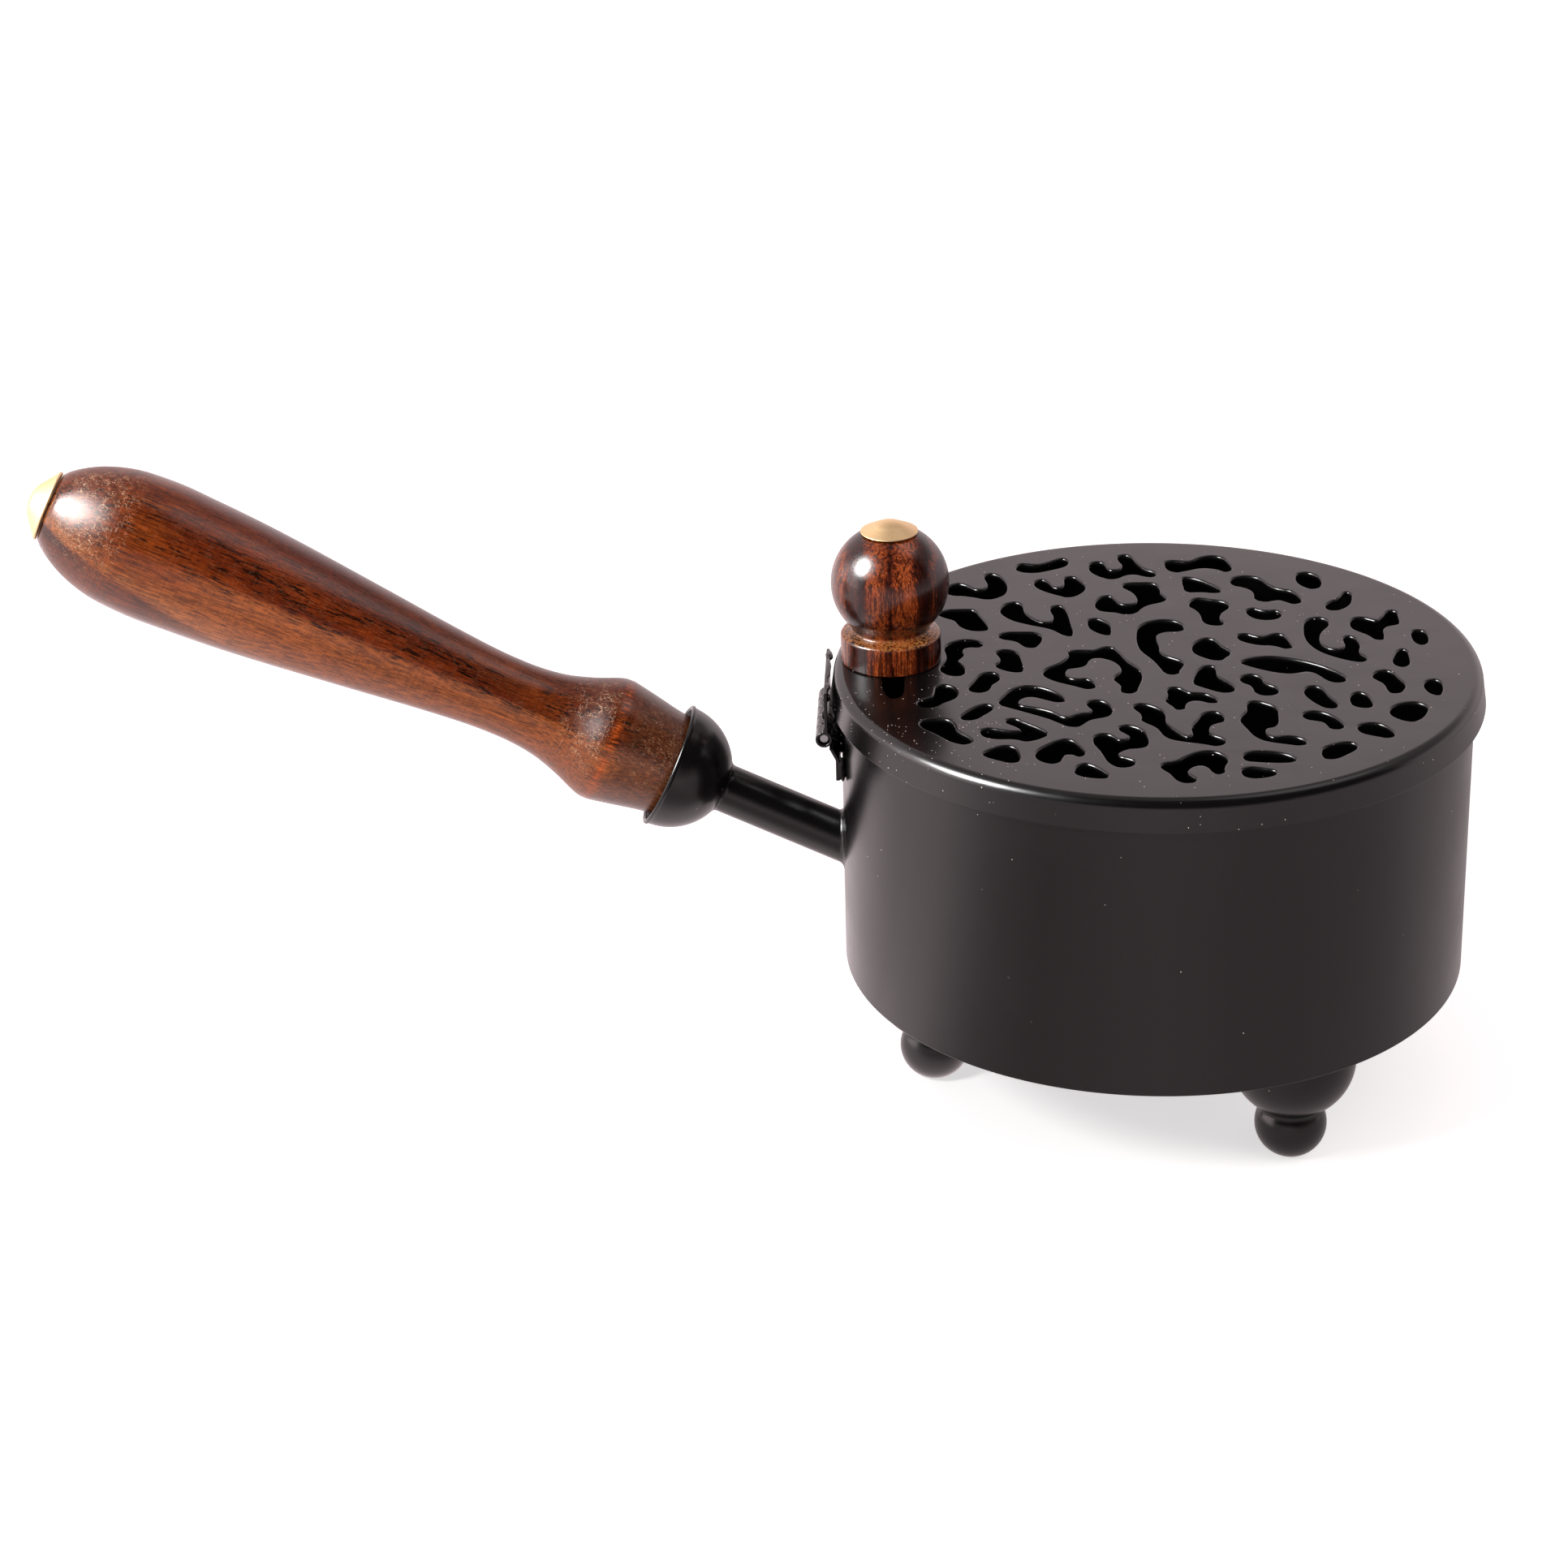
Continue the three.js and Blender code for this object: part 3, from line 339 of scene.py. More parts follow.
def makeEnamel(name, dustShares):
    material, tree, inMm = newMaterial(name)
    made = marksOf(tree, inMm, enamel)
    fromGather = add(tree, "VectorMath", {"operation": "DISTANCE", 0: inMm, 1: enamel["gatherAt"]})
    usual, most = dustShares
    share = add(tree, "MapRange", {0: fromGather, **span(enamel["gatherReach"]), 3: most, 4: usual})
    patchShare = add(tree, "Math", {"operation": "MULTIPLY", 0: share, 1: made["dustPatch"]})
    # a grain shows where its cell's own number is under the share for this patch
    cells = add(tree, "TexVoronoi", {"Vector": inMm, "Scale": 1 / enamel["dustSpacing"]})
    pick = add(tree, "SeparateColor", {0: cells.outputs["Color"]})
    shown = add(tree, "Math", {"operation": "LESS_THAN", 0: pick.outputs[0], 1: patchShare})
    grainSize = enamel["dustGrain"] / enamel["dustSpacing"]
    size = add(tree, "MapRange", {0: pick.outputs[1], 3: grainSize / 2, 4: grainSize})
    inside = add(tree, "Math", {"operation": "LESS_THAN", 0: cells.outputs["Distance"], 1: size})
    dust = add(tree, "Math", {"operation": "MULTIPLY", 0: shown, 1: inside})
    colour = add(tree, "Mix", {
        "data_type": "RGBA", 0: dust, 6: linear(enamel["black"]), 7: linear(enamel["dust"])})
    satin = add(tree, "MapRange", {
        0: made["cloud"], 3: enamel["roughness"], 4: enamel["roughness"] + enamel["cloudSpread"]})
    rough = add(tree, "MapRange", {0: dust, 3: satin, 4: enamel["dustRoughness"]})
    bump = bumps(tree, (made["wave"], enamel["waveDepth"]), (made["peel"], enamel["peelDepth"]))
    return surfaced(material, tree, {
        "IOR": enamel["ior"], "Base Color": colour, "Roughness": rough, "Normal": bump})


# Turned brass, bright from the lathe: pale gold with very fine rings round its axis and a few dull
# spots of handling
brass = {"gold": "#eccb9a", "tarnish": "#c2944e", "roughness": 0.42, "spotRoughness": 0.52,
         "spots": {"size": 1.4, "low": 0.62, "high": 0.76, "detail": 4},
         "ringSpacing": 0.22, "ringDetail": 3, "ringDepth": 0.0035,
         "scratches": {"size": (0.12, 2.2, 2.2), "low": 0.56, "high": 0.62}, "scratchDepth": 0.003}


def makeBrass(name, place):
    material, tree, inMm = newMaterial(name, place)
    made = marksOf(tree, inMm, brass)
    colour = add(tree, "Mix", {
        "data_type": "RGBA", 0: made["spots"], 6: linear(brass["gold"]), 7: linear(brass["tarnish"])})
    flat = add(tree, "Mapping", {"Vector": inMm, "Scale": (1, 1, 0)})
    radius = add(tree, "VectorMath", {"operation": "LENGTH", 0: flat})
    rings = add(tree, "TexNoise", {
        "noise_dimensions": "1D", "W": radius, "Scale": 1 / brass["ringSpacing"],
        "Detail": brass["ringDetail"]})
    rough = add(tree, "MapRange", {0: made["spots"], 3: brass["roughness"], 4: brass["spotRoughness"]})
    bump = bumps(tree, (rings, brass["ringDepth"]), (made["scratches"], brass["scratchDepth"]))
    return surfaced(material, tree, {
        "Metallic": 1, "Base Color": colour, "Roughness": rough, "Normal": bump})


# Zinc-plated steel: a cool grey metal, a little cloudy
zinc = {"grey": "#b4b6b8", "roughness": 0.26, "cloudRoughness": 0.44, "cloud": {"size": 3, "detail": 5},
        "cloudDepth": 0.004}


def makeZinc():
    material, tree, inMm = newMaterial("zincPlatedSteel")
    made = marksOf(tree, inMm, zinc)
    rough = add(tree, "MapRange", {0: made["cloud"], 3: zinc["roughness"], 4: zinc["cloudRoughness"]})
    bump = bumps(tree, (made["cloud"], zinc["cloudDepth"]))
    return surfaced(material, tree, {
        "Metallic": 1, "Base Color": linear(zinc["grey"]), "Roughness": rough, "Normal": bump})


panEnamel = makeEnamel("stovedEnamel", enamel["panDust"])
lidEnamel = makeEnamel("dustyStovedEnamel", enamel["lidDust"])
zincSteel = makeZinc()
print("enamel and plated steel made")


# Pan: rolled wall and the base let into it
pan = {"sheet": 1.2, "edge": 0.35, "steps": 256, "seam": 0.15}


def makeWall():
    inner = panRadius - pan["sheet"]
    corners = [(inner, wallLow.z), (panRadius, wallLow.z), (panRadius, wallHigh.z), (inner, wallHigh.z)]
    profile = softened([(*corner, pan["edge"]) for corner in corners])
    shape = turned(profile, pan["steps"], closed=True)
    makePiece("panWall", shape, panPlace, panEnamel, "pan", ["pan_wall"])


def makeBase():
    edge = panRadius - pan["sheet"] - pan["seam"]
    corners = [(0, baseLow.z), (edge, baseLow.z), (edge, baseHigh.z), (0, baseHigh.z)]
    profile = softened([(*corner, pan["edge"]) for corner in corners], closed=False)
    shape = turned(profile, pan["steps"])
    makePiece("panBase", shape, panPlace, panEnamel, "pan", ["pan_base"])


makeWall()
makeBase()
print("pan made")


# Feet: a small ball under a larger one, thick paint rounding the joint between them. For the paint
# some degrees are left off each ball, and its surface lies a little outside the joint
foot = {"lowerBall": 8, "upperBall": 14, "spacing": 16.8, "flat": 0.31, "lowerTrim": 5.44, "upperTrim": 3.2,
        "paintOut": 0.22, "paintUp": 0.02, "steps": 96}


def makeFoot(number):
    node = f"foot_{number}"
    lower, upper, spacing = foot["lowerBall"], foot["upperBall"], foot["spacing"]
    top = boxInMm(node)[1].z
    lowCentre = lower - foot["flat"]
    highCentre = lowCentre + spacing
    meet = (spacing ** 2 + lower ** 2 - upper ** 2) / (2 * spacing)
    meetLow = angleAt(meet, lower)
    waist = lower * math.cos(math.radians(meetLow))
    lowerEnd = meetLow - foot["lowerTrim"]
    upperStart = angleAt(meet - spacing, upper) + foot["upperTrim"]
    profile = [
        (0, 0),
        *arc(0, lowCentre, lower, -angleAt(lowCentre, lower), lowerEnd, 24),
        (waist + foot["paintOut"], lowCentre + meet + foot["paintUp"]),
        *arc(0, highCentre, upper, upperStart, angleAt(top - highCentre, upper), 30),
        (0, top),
    ]
    place = Matrix.Translation(middleOf(node, 0))
    shape = turned(profile, foot["steps"])
    makePiece(f"foot{number}", shape, place, panEnamel, "pan", [node])


# Round-headed screws with a hexagon socket
screw = {"tip": 0.3, "edge": 0.15, "edgeHeight": 0.2, "upright": 0.5, "roundness": 0.8, "socketRim": 0.3,
         "socketEdge": 0.1, "socketEdgeDepth": 0.08, "drillShare": 0.3, "drill": (0.4, 0.5), "steps": 48}
footScrew = {"shank": 2.5, "head": 4.5, "headHeight": 2.5, "socket": 1.7, "socketDepth": 1.4}
knobScrew = {"shank": 2, "head": 4, "headHeight": 2.6, "socket": 1.4, "socketDepth": 1.4}


# Head's underside at z = 0, shank below it
def screwShape(size, shankLength):
    def ring(radius, height, hexagon=False):
        loop = []
        for angle in turns(screw["steps"]):
            toSide = angle % (math.pi / 3) - math.pi / 6
            reach = radius * math.cos(math.pi / 6) / math.cos(toSide) if hexagon else radius
            loop.append((reach * math.cos(angle), reach * math.sin(angle), height))
        return loop
    shank, head, top, upright = size["shank"], size["head"], size["headHeight"], screw["upright"]
    socket = size["socket"] / math.cos(math.pi / 6)
    rim = socket + screw["socketRim"]
    floor = top - size["socketDepth"]
    rings = [[(0, 0, -shankLength)], ring(shank - screw["tip"], -shankLength),
             ring(shank, screw["tip"] - shankLength), ring(shank, 0), ring(head - screw["edge"], 0),
             ring(head, screw["edgeHeight"]), ring(head, upright)]
    for step in range(1, 9):
        angle = quarterTurn * step / 8
        radius = rim + (head - rim) * math.cos(angle) ** screw["roundness"]
        rings.append(ring(radius, upright + (top - upright) * math.sin(angle)))
    rings += [ring(socket + screw["socketEdge"], top), ring(socket, top - screw["socketEdgeDepth"], True),
              ring(socket, floor, True), ring(screw["drillShare"] * socket, floor - screw["drill"][0]),
              [(0, 0, floor - screw["drill"][1])]]
    return lofted(rings)


for number in (1, 2, 3):
    makeFoot(number)
for number in (1, 2, 3):
    node = f"foot_screw_{number}"
    shape = screwShape(footScrew, baseHigh.z - boxInMm(node)[0].z)
    place = Matrix.Translation(middleOf(node, baseHigh.z))
    makePiece(f"footScrew{number}", shape, place, zincSteel, "pan", [node])
print("feet and their screws made")


# Handle. Its own frame starts on the wall and runs outwards: z along it, x up from it, y to the back
handle = {"tilt": 25.4, "height": 27.6}
tilt = math.radians(handle["tilt"])
handlePlace = Matrix((
    (math.sin(tilt), 0, -math.cos(tilt), panMiddle.x - panRadius),
    (0, 1, 0, 0),
    (math.cos(tilt), 0, math.sin(tilt), wallLow.z + handle["height"]),
    (0, 0, 0, 1),
))
# Bar with a weld's fillet, whose rows follow the wall less and less, and a bead where it meets the cup
neck = {"radius": 5.5, "reach": 29, "weld": 1.3, "weldRipple": 0.32, "ripples": 4.5, "rippleLength": 3,
        "fadeShares": (0.15, 0.35, 0.6, 0.8, 1), "straightBy": 12, "cupBead": 0.45, "beadBefore": 0.99,
        "beadLength": 1.08,
        "sunk": (1, 0.6), "weldFoot": (0.1, 0.4), "cupSunk": (0.5, 0.6), "steps": 128}
cup = {"radius": 14.05, "sheet": 1.0, "skirt": 0.6, "hole": 3.3, "lip": 0.35, "lipRound": 0.55,
       "outerEnd": -7, "innerEnd": -5, "lipFrom": (0.02, 0.6), "lipSwell": 0.4, "lipDrop": 0.5,
       "lipSweep": (-20, 190), "steps": 160}


# How far out along the handle the wall's face lies, at one place on a bar of this radius
def wallReach(angle, radius):
    up, aside = radius * math.cos(angle), radius * math.sin(angle)
    bulge = panRadius - math.sqrt(panRadius ** 2 - aside ** 2)
    return (up * math.sin(tilt) - bulge) / math.cos(tilt)


def makeNeck():
    straight, weld = neck["radius"], neck["weld"]
    # radius, distance along, share of the wall's form, share of the weld's ripples
    thinner, deeper = neck["sunk"]
    footDepth, footRipple = neck["weldFoot"]
    rows = [(straight - thinner, -deeper, 1, 0), (straight + weld, -footDepth, 1, footRipple)]
    for step in range(1, 9):
        angle = quarterTurn * step / 8
        rows.append((straight + weld * (1 - math.sin(angle)), weld * (1 - math.cos(angle)), 1, 1 - step / 8))
    for share in neck["fadeShares"]:
        rows.append((straight, weld + (neck["straightBy"] - weld) * share, 1 - share, 0))
    cupMeets = neck["reach"] + cup["radius"] - math.sqrt(cup["radius"] ** 2 - straight ** 2)
    for step in range(7):
        angle = quarterTurn * step / 6
        along = cupMeets - neck["beadBefore"] + neck["beadLength"] * math.sin(angle)
        rows.append((straight + neck["cupBead"] * (1 - math.cos(angle)), along, 0, math.sin(angle) / 2))
    thinner, deeper = neck["cupSunk"]
    rows.append((straight - thinner, cupMeets + deeper, 0, 0))
    rings = []
    for radius, along, hug, ripple in rows:
        ring = []
        for angle in turns(neck["steps"]):
            spot = (math.cos(angle) * neck["ripples"], math.sin(angle) * neck["ripples"],
                    along / neck["rippleLength"])
            size = radius + ripple * neck["weldRipple"] * noise.noise(spot)
            height = hug * wallReach(angle, size) + along
            ring.append((size * math.cos(angle), size * math.sin(angle), height))
        rings.append(ring)
    shape = lofted(rings, flatEnds=True)
    makePiece("handleNeck", shape, handlePlace, panEnamel, "pan", ["handle_neck"])


# Half-ball cup with a lip that turns out a little
def makeCup():
    size, hole, lip = cup["radius"], cup["hole"], cup["lip"]
    centre = neck["reach"] + size
    rim = centre + cup["skirt"]
    inner = size - cup["sheet"]
    profile = [
        *arc(0, centre, size, -angleOut(hole, size), cup["outerEnd"], 26),
        (size + cup["lipFrom"][0], centre - cup["lipFrom"][1]),
        (size + cup["lipSwell"] * lip, centre),
        *arc(size + lip - cup["lipRound"], rim - cup["lipDrop"], cup["lipRound"], *cup["lipSweep"], 14),
        (inner, centre - cup["lipSwell"]),
        *arc(0, centre, inner, cup["innerEnd"], -angleOut(hole, inner), 22),
    ]
    shape = turned(profile, cup["steps"], closed=True)
    makePiece("handleCup", shape, handlePlace, panEnamel, "pan", ["handle_cup"])


makeNeck()
makeCup()


# Turned grip, measured from the cup's rim: distance along it and radius
grip = {
    "mouth": 43.65,
    "collar": [(0, 11.8), (3.25, 12.3), (6.85, 13.0), (10.55, 13.7), (14.05, 14.3)],
    "body": [(14.05, 14.3), (16.05, 14.17), (17.85, 13.59), (21.55, 12.06), (25.25, 10.8), (28.85, 9.83),
             (32.55, 9.26), (36.15, 8.98), (39.75, 8.93), (45.25, 9.1), (56.05, 10.02), (72.35, 11.78),
             (93.85, 14.03), (104.5, 14.93), (115.2, 15.51), (123.3, 15.82), (131, 15.4), (134.5, 14.81),
             (138.1, 13.77), (141.5, 12.39), (145.1, 10.3), (146.9, 8.95)],
    "end": 148, "endRadius": 7.9, "endEdge": [(0.25, -0.35), (-0.2, -0.05)], "tipRadius": 12.65,
    "bore": 3.3, "steps": 192,
}


# Turned sheesham under a thin worn polish. Growth bands cross it at a slant, with a sharp tan one
# over a dark one near the butt. The lower side is painted paler: a painted sheen that stands in for the
# bright floor mirrored there. Dark dashes and fibres run along it and fine lathe lines round it. It is
# scuffed at the butt and before the collar, whose ridge is worn to orange
gripWood = {
    "ringWay": (0.978, 0, -0.2073), "ringFrom": 185, "wander": 2.0,
    "slow": {"size": (9, 9, 60), "low": 0.2, "high": 0.8, "detail": 2},
    "rings": [(-16, "#6a2f12"), (-9, "#6a2e11"), (-4.6, "#5e280e"), (-3.0, "#3a1508"), (-1.8, "#451a09"),
              (-1.0, "#9a5626"), (0.3, "#a05c28"), (2.2, "#86461a"), (6, "#78340c"), (12, "#6e2c06"),
              (16, "#5c2004"), (20, "#6a2906"), (24, "#521c04"), (28, "#682c08"), (33, "#5c2406"),
              (40, "#602808")],
    # painted sheen: the lower side painted paler, standing in for the mirrored bright floor
    "paintedSheen": "#9c5524", "paintedSheenShare": 0.62, "paintedSheenWay": (0.91, 0.41), "paintedSheenEdge": (-0.05, -0.15),
    "paintedSheenBy": (168, 150),
    "tint": "#7c380c", "tintShare": 0.8, "tintSpan": (160, 169, 178, 186),
    "tintPatch": {"size": (4, 4, 5), "low": 0.35, "high": 0.62},
    "frontWay": (0.62, -0.78),
    "streak": "#1c0803", "streakEdge": (0.85, 0.95), "streakElsewhere": 0.3, "streakDepth": 0.96,
    "streaks": {"size": (0.6, 0.6, 7), "low": 0.52, "high": 0.58, "detail": 4},
    "streakGroups": {"size": (3, 3, 14), "low": 0.42, "high": 0.53},
    "pore": "#200a04", "poreDepth": 0.75,
    "pores": {"size": (0.24, 0.24, 2.6), "low": 0.60, "high": 0.70, "detail": 2},
    "ridge": "#b04e16", "ridgeSpan": (57.0, 58.5, 58.5, 60.0),
    "ridgeStrokes": {"size": (0.35, 0.35, 2.0), "low": 0.44, "high": 0.60, "detail": 2},
    "mouthWood": "#4e2c18", "mouthBy": (54, 57.5), "mouthShare": 0.62, "mouthScuffs": 0.25,
    "fibres": {"size": (0.36, 0.36, 8), "low": 0.34, "high": 0.66, "detail": 5, "roughness": 0.75},
    "fibreDepth": 0.60, "latheSpacing": 0.62, "latheDetail": 5, "latheFineness": 0.75,
    "latheDepth": 0.15, "latheEdge": (0.3, 0.7),
    "scuff": "#dcae84", "scuffSpans": [(172, 182, 187, 190), (58.5, 62.5, 64, 71), (38, 42, 46, 60)],
    "scuffEdge": (0.50, 0.85), "scuffFarSide": 0.15, "scuffElsewhere": 0.06, "scuffRoughness": 0.6,
    "scuffFlecks": {"size": (0.30, 0.30, 0.42), "low": 0.58, "high": 0.62, "roughness": 0.7},
    "scuffCurls": {"size": (1.5, 1.5, 2.0), "low": 0.2, "high": 0.8, "roughness": 0.5}, "curlWidth": 0.022,
    "scuffPatches": {"size": 1.8, "low": 0.42, "high": 0.56},
    "roughness": 0.14, "latheRoughness": 0.22, "wornRoughness": 0.18, "ior": 1.5,
    "grainDepth": 0.007, "latheHeight": 0.006,
}


def makeGripWood():
    look = gripWood
    material, tree, inMm = newMaterial("turnedSheesham", handlePlace)
    made = marksOf(tree, inMm, look)
    along = add(tree, "SeparateXYZ", {0: inMm}).outputs[2]
    across = add(tree, "VectorMath", {"operation": "DOT_PRODUCT", 0: inMm, 1: look["ringWay"]})
    rings = growthRings(tree, made["slow"], look, across, look["ringWay"][2] * look["ringFrom"])
    flat = add(tree, "Mapping", {"Vector": inMm, "Scale": (1, 1, 0)})
    outward = add(tree, "VectorMath", {"operation": "NORMALIZE", 0: flat})

    # painted sheen: the lower side is painted paler, standing in for the bright floor mirrored there, told
    # by the turn round the wood
    paintedSheenSide = towards(tree, outward, look["paintedSheenWay"], look["paintedSheenEdge"], 0, look["paintedSheenShare"])
    paintedSheenAlong = add(tree, "MapRange", {0: along, **span(look["paintedSheenBy"])})
    sheened = laidOver(tree, rings, look["paintedSheen"], paintedSheenSide, paintedSheenAlong)

    # an orange tint where the belly narrows to the butt
    tintSpan = within(tree, along, look["tintSpan"])
    tintShare = add(tree, "Math", {"operation": "MULTIPLY", 0: made["tintPatch"], 1: tintSpan})
    tinted = laidOver(tree, sheened, look["tint"], tintShare, look["tintShare"])

    # dark streaks in loose groups, most of them in one line, and pores all over
    streakLine = towards(tree, outward, look["frontWay"], look["streakEdge"], look["streakElsewhere"],
                         look["streakDepth"])
    streakShare = add(tree, "Math", {"operation": "MULTIPLY", 0: made["streaks"], 1: made["streakGroups"]})
    streaked = laidOver(tree, tinted, look["streak"], streakShare, streakLine)
    pored = laidOver(tree, streaked, look["pore"], made["pores"], look["poreDepth"])

    # the collar's ridge, in short strokes, and duller wood from there to the cup
    onRidge = within(tree, along, look["ridgeSpan"])
    ridged = laidOver(tree, pored, look["ridge"], onRidge, made["ridgeStrokes"])
    mouthShare = add(tree, "MapRange", {0: along, **span(look["mouthBy"]), 3: look["mouthShare"], 4: 0})
    mouthed = add(tree, "Mix", {"data_type": "RGBA", 0: mouthShare, 6: ridged, 7: linear(look["mouthWood"])})

    # fibres along the wood and lathe lines round it
    fibreTone = add(tree, "MapRange", {
        0: made["fibres"], 3: 1 - look["fibreDepth"], 4: 1 + look["fibreDepth"]})
    lathe = add(tree, "TexNoise", {
        "noise_dimensions": "1D", "W": along, "Scale": 1 / look["latheSpacing"],
        "Detail": look["latheDetail"], "Roughness": look["latheFineness"]})
    latheTone = add(tree, "MapRange", {
        0: lathe, **span(look["latheEdge"]), 3: 1 - look["latheDepth"], 4: 1 + look["latheDepth"]})
    tone = add(tree, "Math", {"operation": "MULTIPLY", 0: fibreTone, 1: latheTone})
    toned = add(tree, "VectorMath", {"operation": "SCALE", 0: mouthed, "Scale": tone})

    # pale scuffs: flecks and curls in patches, where the wood has been handled
    butt, collar, mouth = [within(tree, along, ends) for ends in look["scuffSpans"]]
    ends = add(tree, "Math", {"operation": "MULTIPLY_ADD", 0: mouth, 1: look["mouthScuffs"], 2: butt})
    worn = add(tree, "Math", {"operation": "MAXIMUM", 0: ends, 1: collar})
    wornShare = add(tree, "MapRange", {0: worn, 3: look["scuffElsewhere"]})
    onCurl = add(tree, "Math", {"operation": "COMPARE", 0: made["scuffCurls"], 1: 0.5, 2: look["curlWidth"]})
    either = add(tree, "Math", {"operation": "MAXIMUM", 0: made["scuffFlecks"], 1: onCurl})
    patched = add(tree, "Math", {"operation": "MULTIPLY", 0: either, 1: made["scuffPatches"]})
    scuffSide = towards(tree, outward, look["frontWay"], look["scuffEdge"], look["scuffFarSide"], 1)
    sideShare = add(tree, "Math", {"operation": "MULTIPLY", 0: wornShare, 1: scuffSide})
    scuffs = add(tree, "Math", {"operation": "MULTIPLY", 0: patched, 1: sideShare})
    colour = add(tree, "Mix", {"data_type": "RGBA", 0: scuffs, 6: toned, 7: linear(look["scuff"])})

    polish = add(tree, "MapRange", {
        0: lathe, **span(look["latheEdge"]), 3: look["roughness"], 4: look["latheRoughness"]})
    dulled = add(tree, "Math", {"operation": "MULTIPLY_ADD", 0: worn, 1: look["wornRoughness"], 2: polish})
    rough = add(tree, "MapRange", {0: scuffs, 3: dulled, 4: look["scuffRoughness"]})
    bump = bumps(tree, (made["fibres"], look["grainDepth"]), (lathe, look["latheHeight"]))
    return surfaced(material, tree, {
        "IOR": look["ior"], "Base Color": colour, "Roughness": rough, "Normal": bump})


def makeGrip():
    centre = neck["reach"] + cup["radius"]
    mouth, tip, collar = grip["mouth"], grip["tipRadius"], grip["collar"]
    butt = mouth + grip["end"]
    profile = [
        *arc(0, centre, tip, -angleOut(grip["bore"], tip), -angleOut(collar[0][1], tip), 12),
        *flowing([(radius, mouth + along) for along, radius in collar], 3)[:-1],
        *flowing([(radius, mouth + along) for along, radius in grip["body"]], 5),
        *[(grip["endRadius"] + out, butt + along) for out, along in grip["endEdge"]],
        (grip["bore"], butt),
    ]
    shape = turned(profile, grip["steps"], closed=True)
    makePiece("handleGrip", shape, handlePlace, makeGripWood(), "pan", ["handle_grip"],
              hasFlats=False)


makeGrip()


# Brass caps: face at z = 0, coned flank, rounded top
endCap = {"radius": 8.05, "edge": 0.5, "flank": 3.9, "topRadius": 3.4, "height": 4.7, "seat": 0.3}
knobCap = {"radius": 6.35, "edge": 0.3, "flank": 1.5, "topRadius": 3.8, "height": 2.5, "seat": 0.3}
capEdge = {"foot": 0.15, "top": 0.2, "flank": 0.6, "steps": 128}


def capShape(size):
    radius, rise = size["radius"], size["height"] - size["flank"]
    domeRadius = (size["topRadius"] ** 2 + rise ** 2) / (2 * rise)
    dome = arc(0, size["height"] - domeRadius, domeRadius, angleAt(domeRadius - rise, domeRadius), 90, 10)
    corners = [
        (radius - capEdge["foot"], 0),
        (radius, size["edge"] / 2, capEdge["foot"]),
        (radius, size["edge"], capEdge["top"]),
        (*dome[0], capEdge["flank"]),
        *dome[1:-1],
    ]
    profile = [(0, 0)] + softened(corners, closed=False) + [(0, size["height"])]
    return turned(profile, capEdge["steps"])


endCapPlace = handlePlace @ Matrix.Translation((0, 0, grip["mouth"] + grip["end"] + endCap["seat"]))
makePiece("handleEndCap", capShape(endCap), endCapPlace, makeBrass("turnedBrass", endCapPlace), "pan",
          ["handle_end_cap"])
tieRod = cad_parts["handle_tie_rod"].data
tieRod.materials.clear()
tieRod.materials.append(zincSteel)
print("handle made")


# Lid: the spots are the frame's own outlines, drawn smooth and with painted-over round edges
lid = {"sheet": 1.2, "corner": 2.4, "skirtFlare": 0.7, "skirtEdge": 0.3, "spotEdge": 0.5, "underEdge": 0.3,
       "facet": 0.45, "edgeSteps": 5, "roundingShare": 0.7,
       "holeNear": 0.5, "steps": 256}


# Closed outlines on the lid's flat top, in order round each
def lidOutlines():
    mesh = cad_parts["lid_shell"].data
    topHeight = max(vertex.co.z for vertex in mesh.vertices)
    ways = set()
    for polygon in mesh.polygons:
        corners = [mesh.vertices[index].co for index in polygon.vertices]
        if min(corner.z for corner in corners) < topHeight - 1e-6:
            continue
        keys = [(round(corner.x / mm, 3), round(corner.y / mm, 3)) for corner in corners]
        for one, two in zip(keys, keys[1:] + keys[:1]):
            if (two, one) in ways:
                ways.remove((two, one))
            else:
                ways.add((one, two))
    following = {one: two for one, two in sorted(ways)}
    outlines = []
    while following:
        start, here = following.popitem()
        outline = [start]
        while here != start:
            outline.append(here)
            here = following.pop(here)
        outlines.append([Vector(point) for point in outline])
    return outlines


def area(outline):
    return sum(one.x * two.y - two.x * one.y for one, two in zip(outline, outline[1:] + outline[:1])) / 2


# Evenly spaced points on a smooth closed curve through the outline
def evenly(outline, spacing):
    curve = [Vector(point) for point in flowing(outline, 8, closed=True)]
    lengths = [0]
    for one, two in zip(curve, curve[1:] + curve[:1]):
        lengths.append(lengths[-1] + (two - one).length)
    count = max(24, round(lengths[-1] / spacing))
    points, index = [], 0
    for step in range(count):
        wanted = lengths[-1] * step / count
        while lengths[index + 1] < wanted:
            index += 1
        share = (wanted - lengths[index]) / max(1e-9, lengths[index + 1] - lengths[index])
        points.append(curve[index].lerp(curve[(index + 1) % len(curve)], share))
    return points


# Rounding that fits at each point of an outline that runs anticlockwise round its hole
def roundingRoom(outline, wanted):
    count = len(outline)
    room = []
    for index in range(count):
        before, here, after = outline[index - 2], outline[index], outline[(index + 2) % count]
        one, two = here - before, after - here
        bend = math.atan2(one.x * two.y - one.y * two.x, one.dot(two))
        curveRadius = -(one.length + two.length) / 2 / bend if bend < -1e-4 else 1e3
        room.append(min(wanted, lid["roundingShare"] * curveRadius))
    for _ in range(4):
        room = [min(room[i], (room[i - 1] + room[i] + room[(i + 1) % count]) / 3) for i in range(count)]
    return room


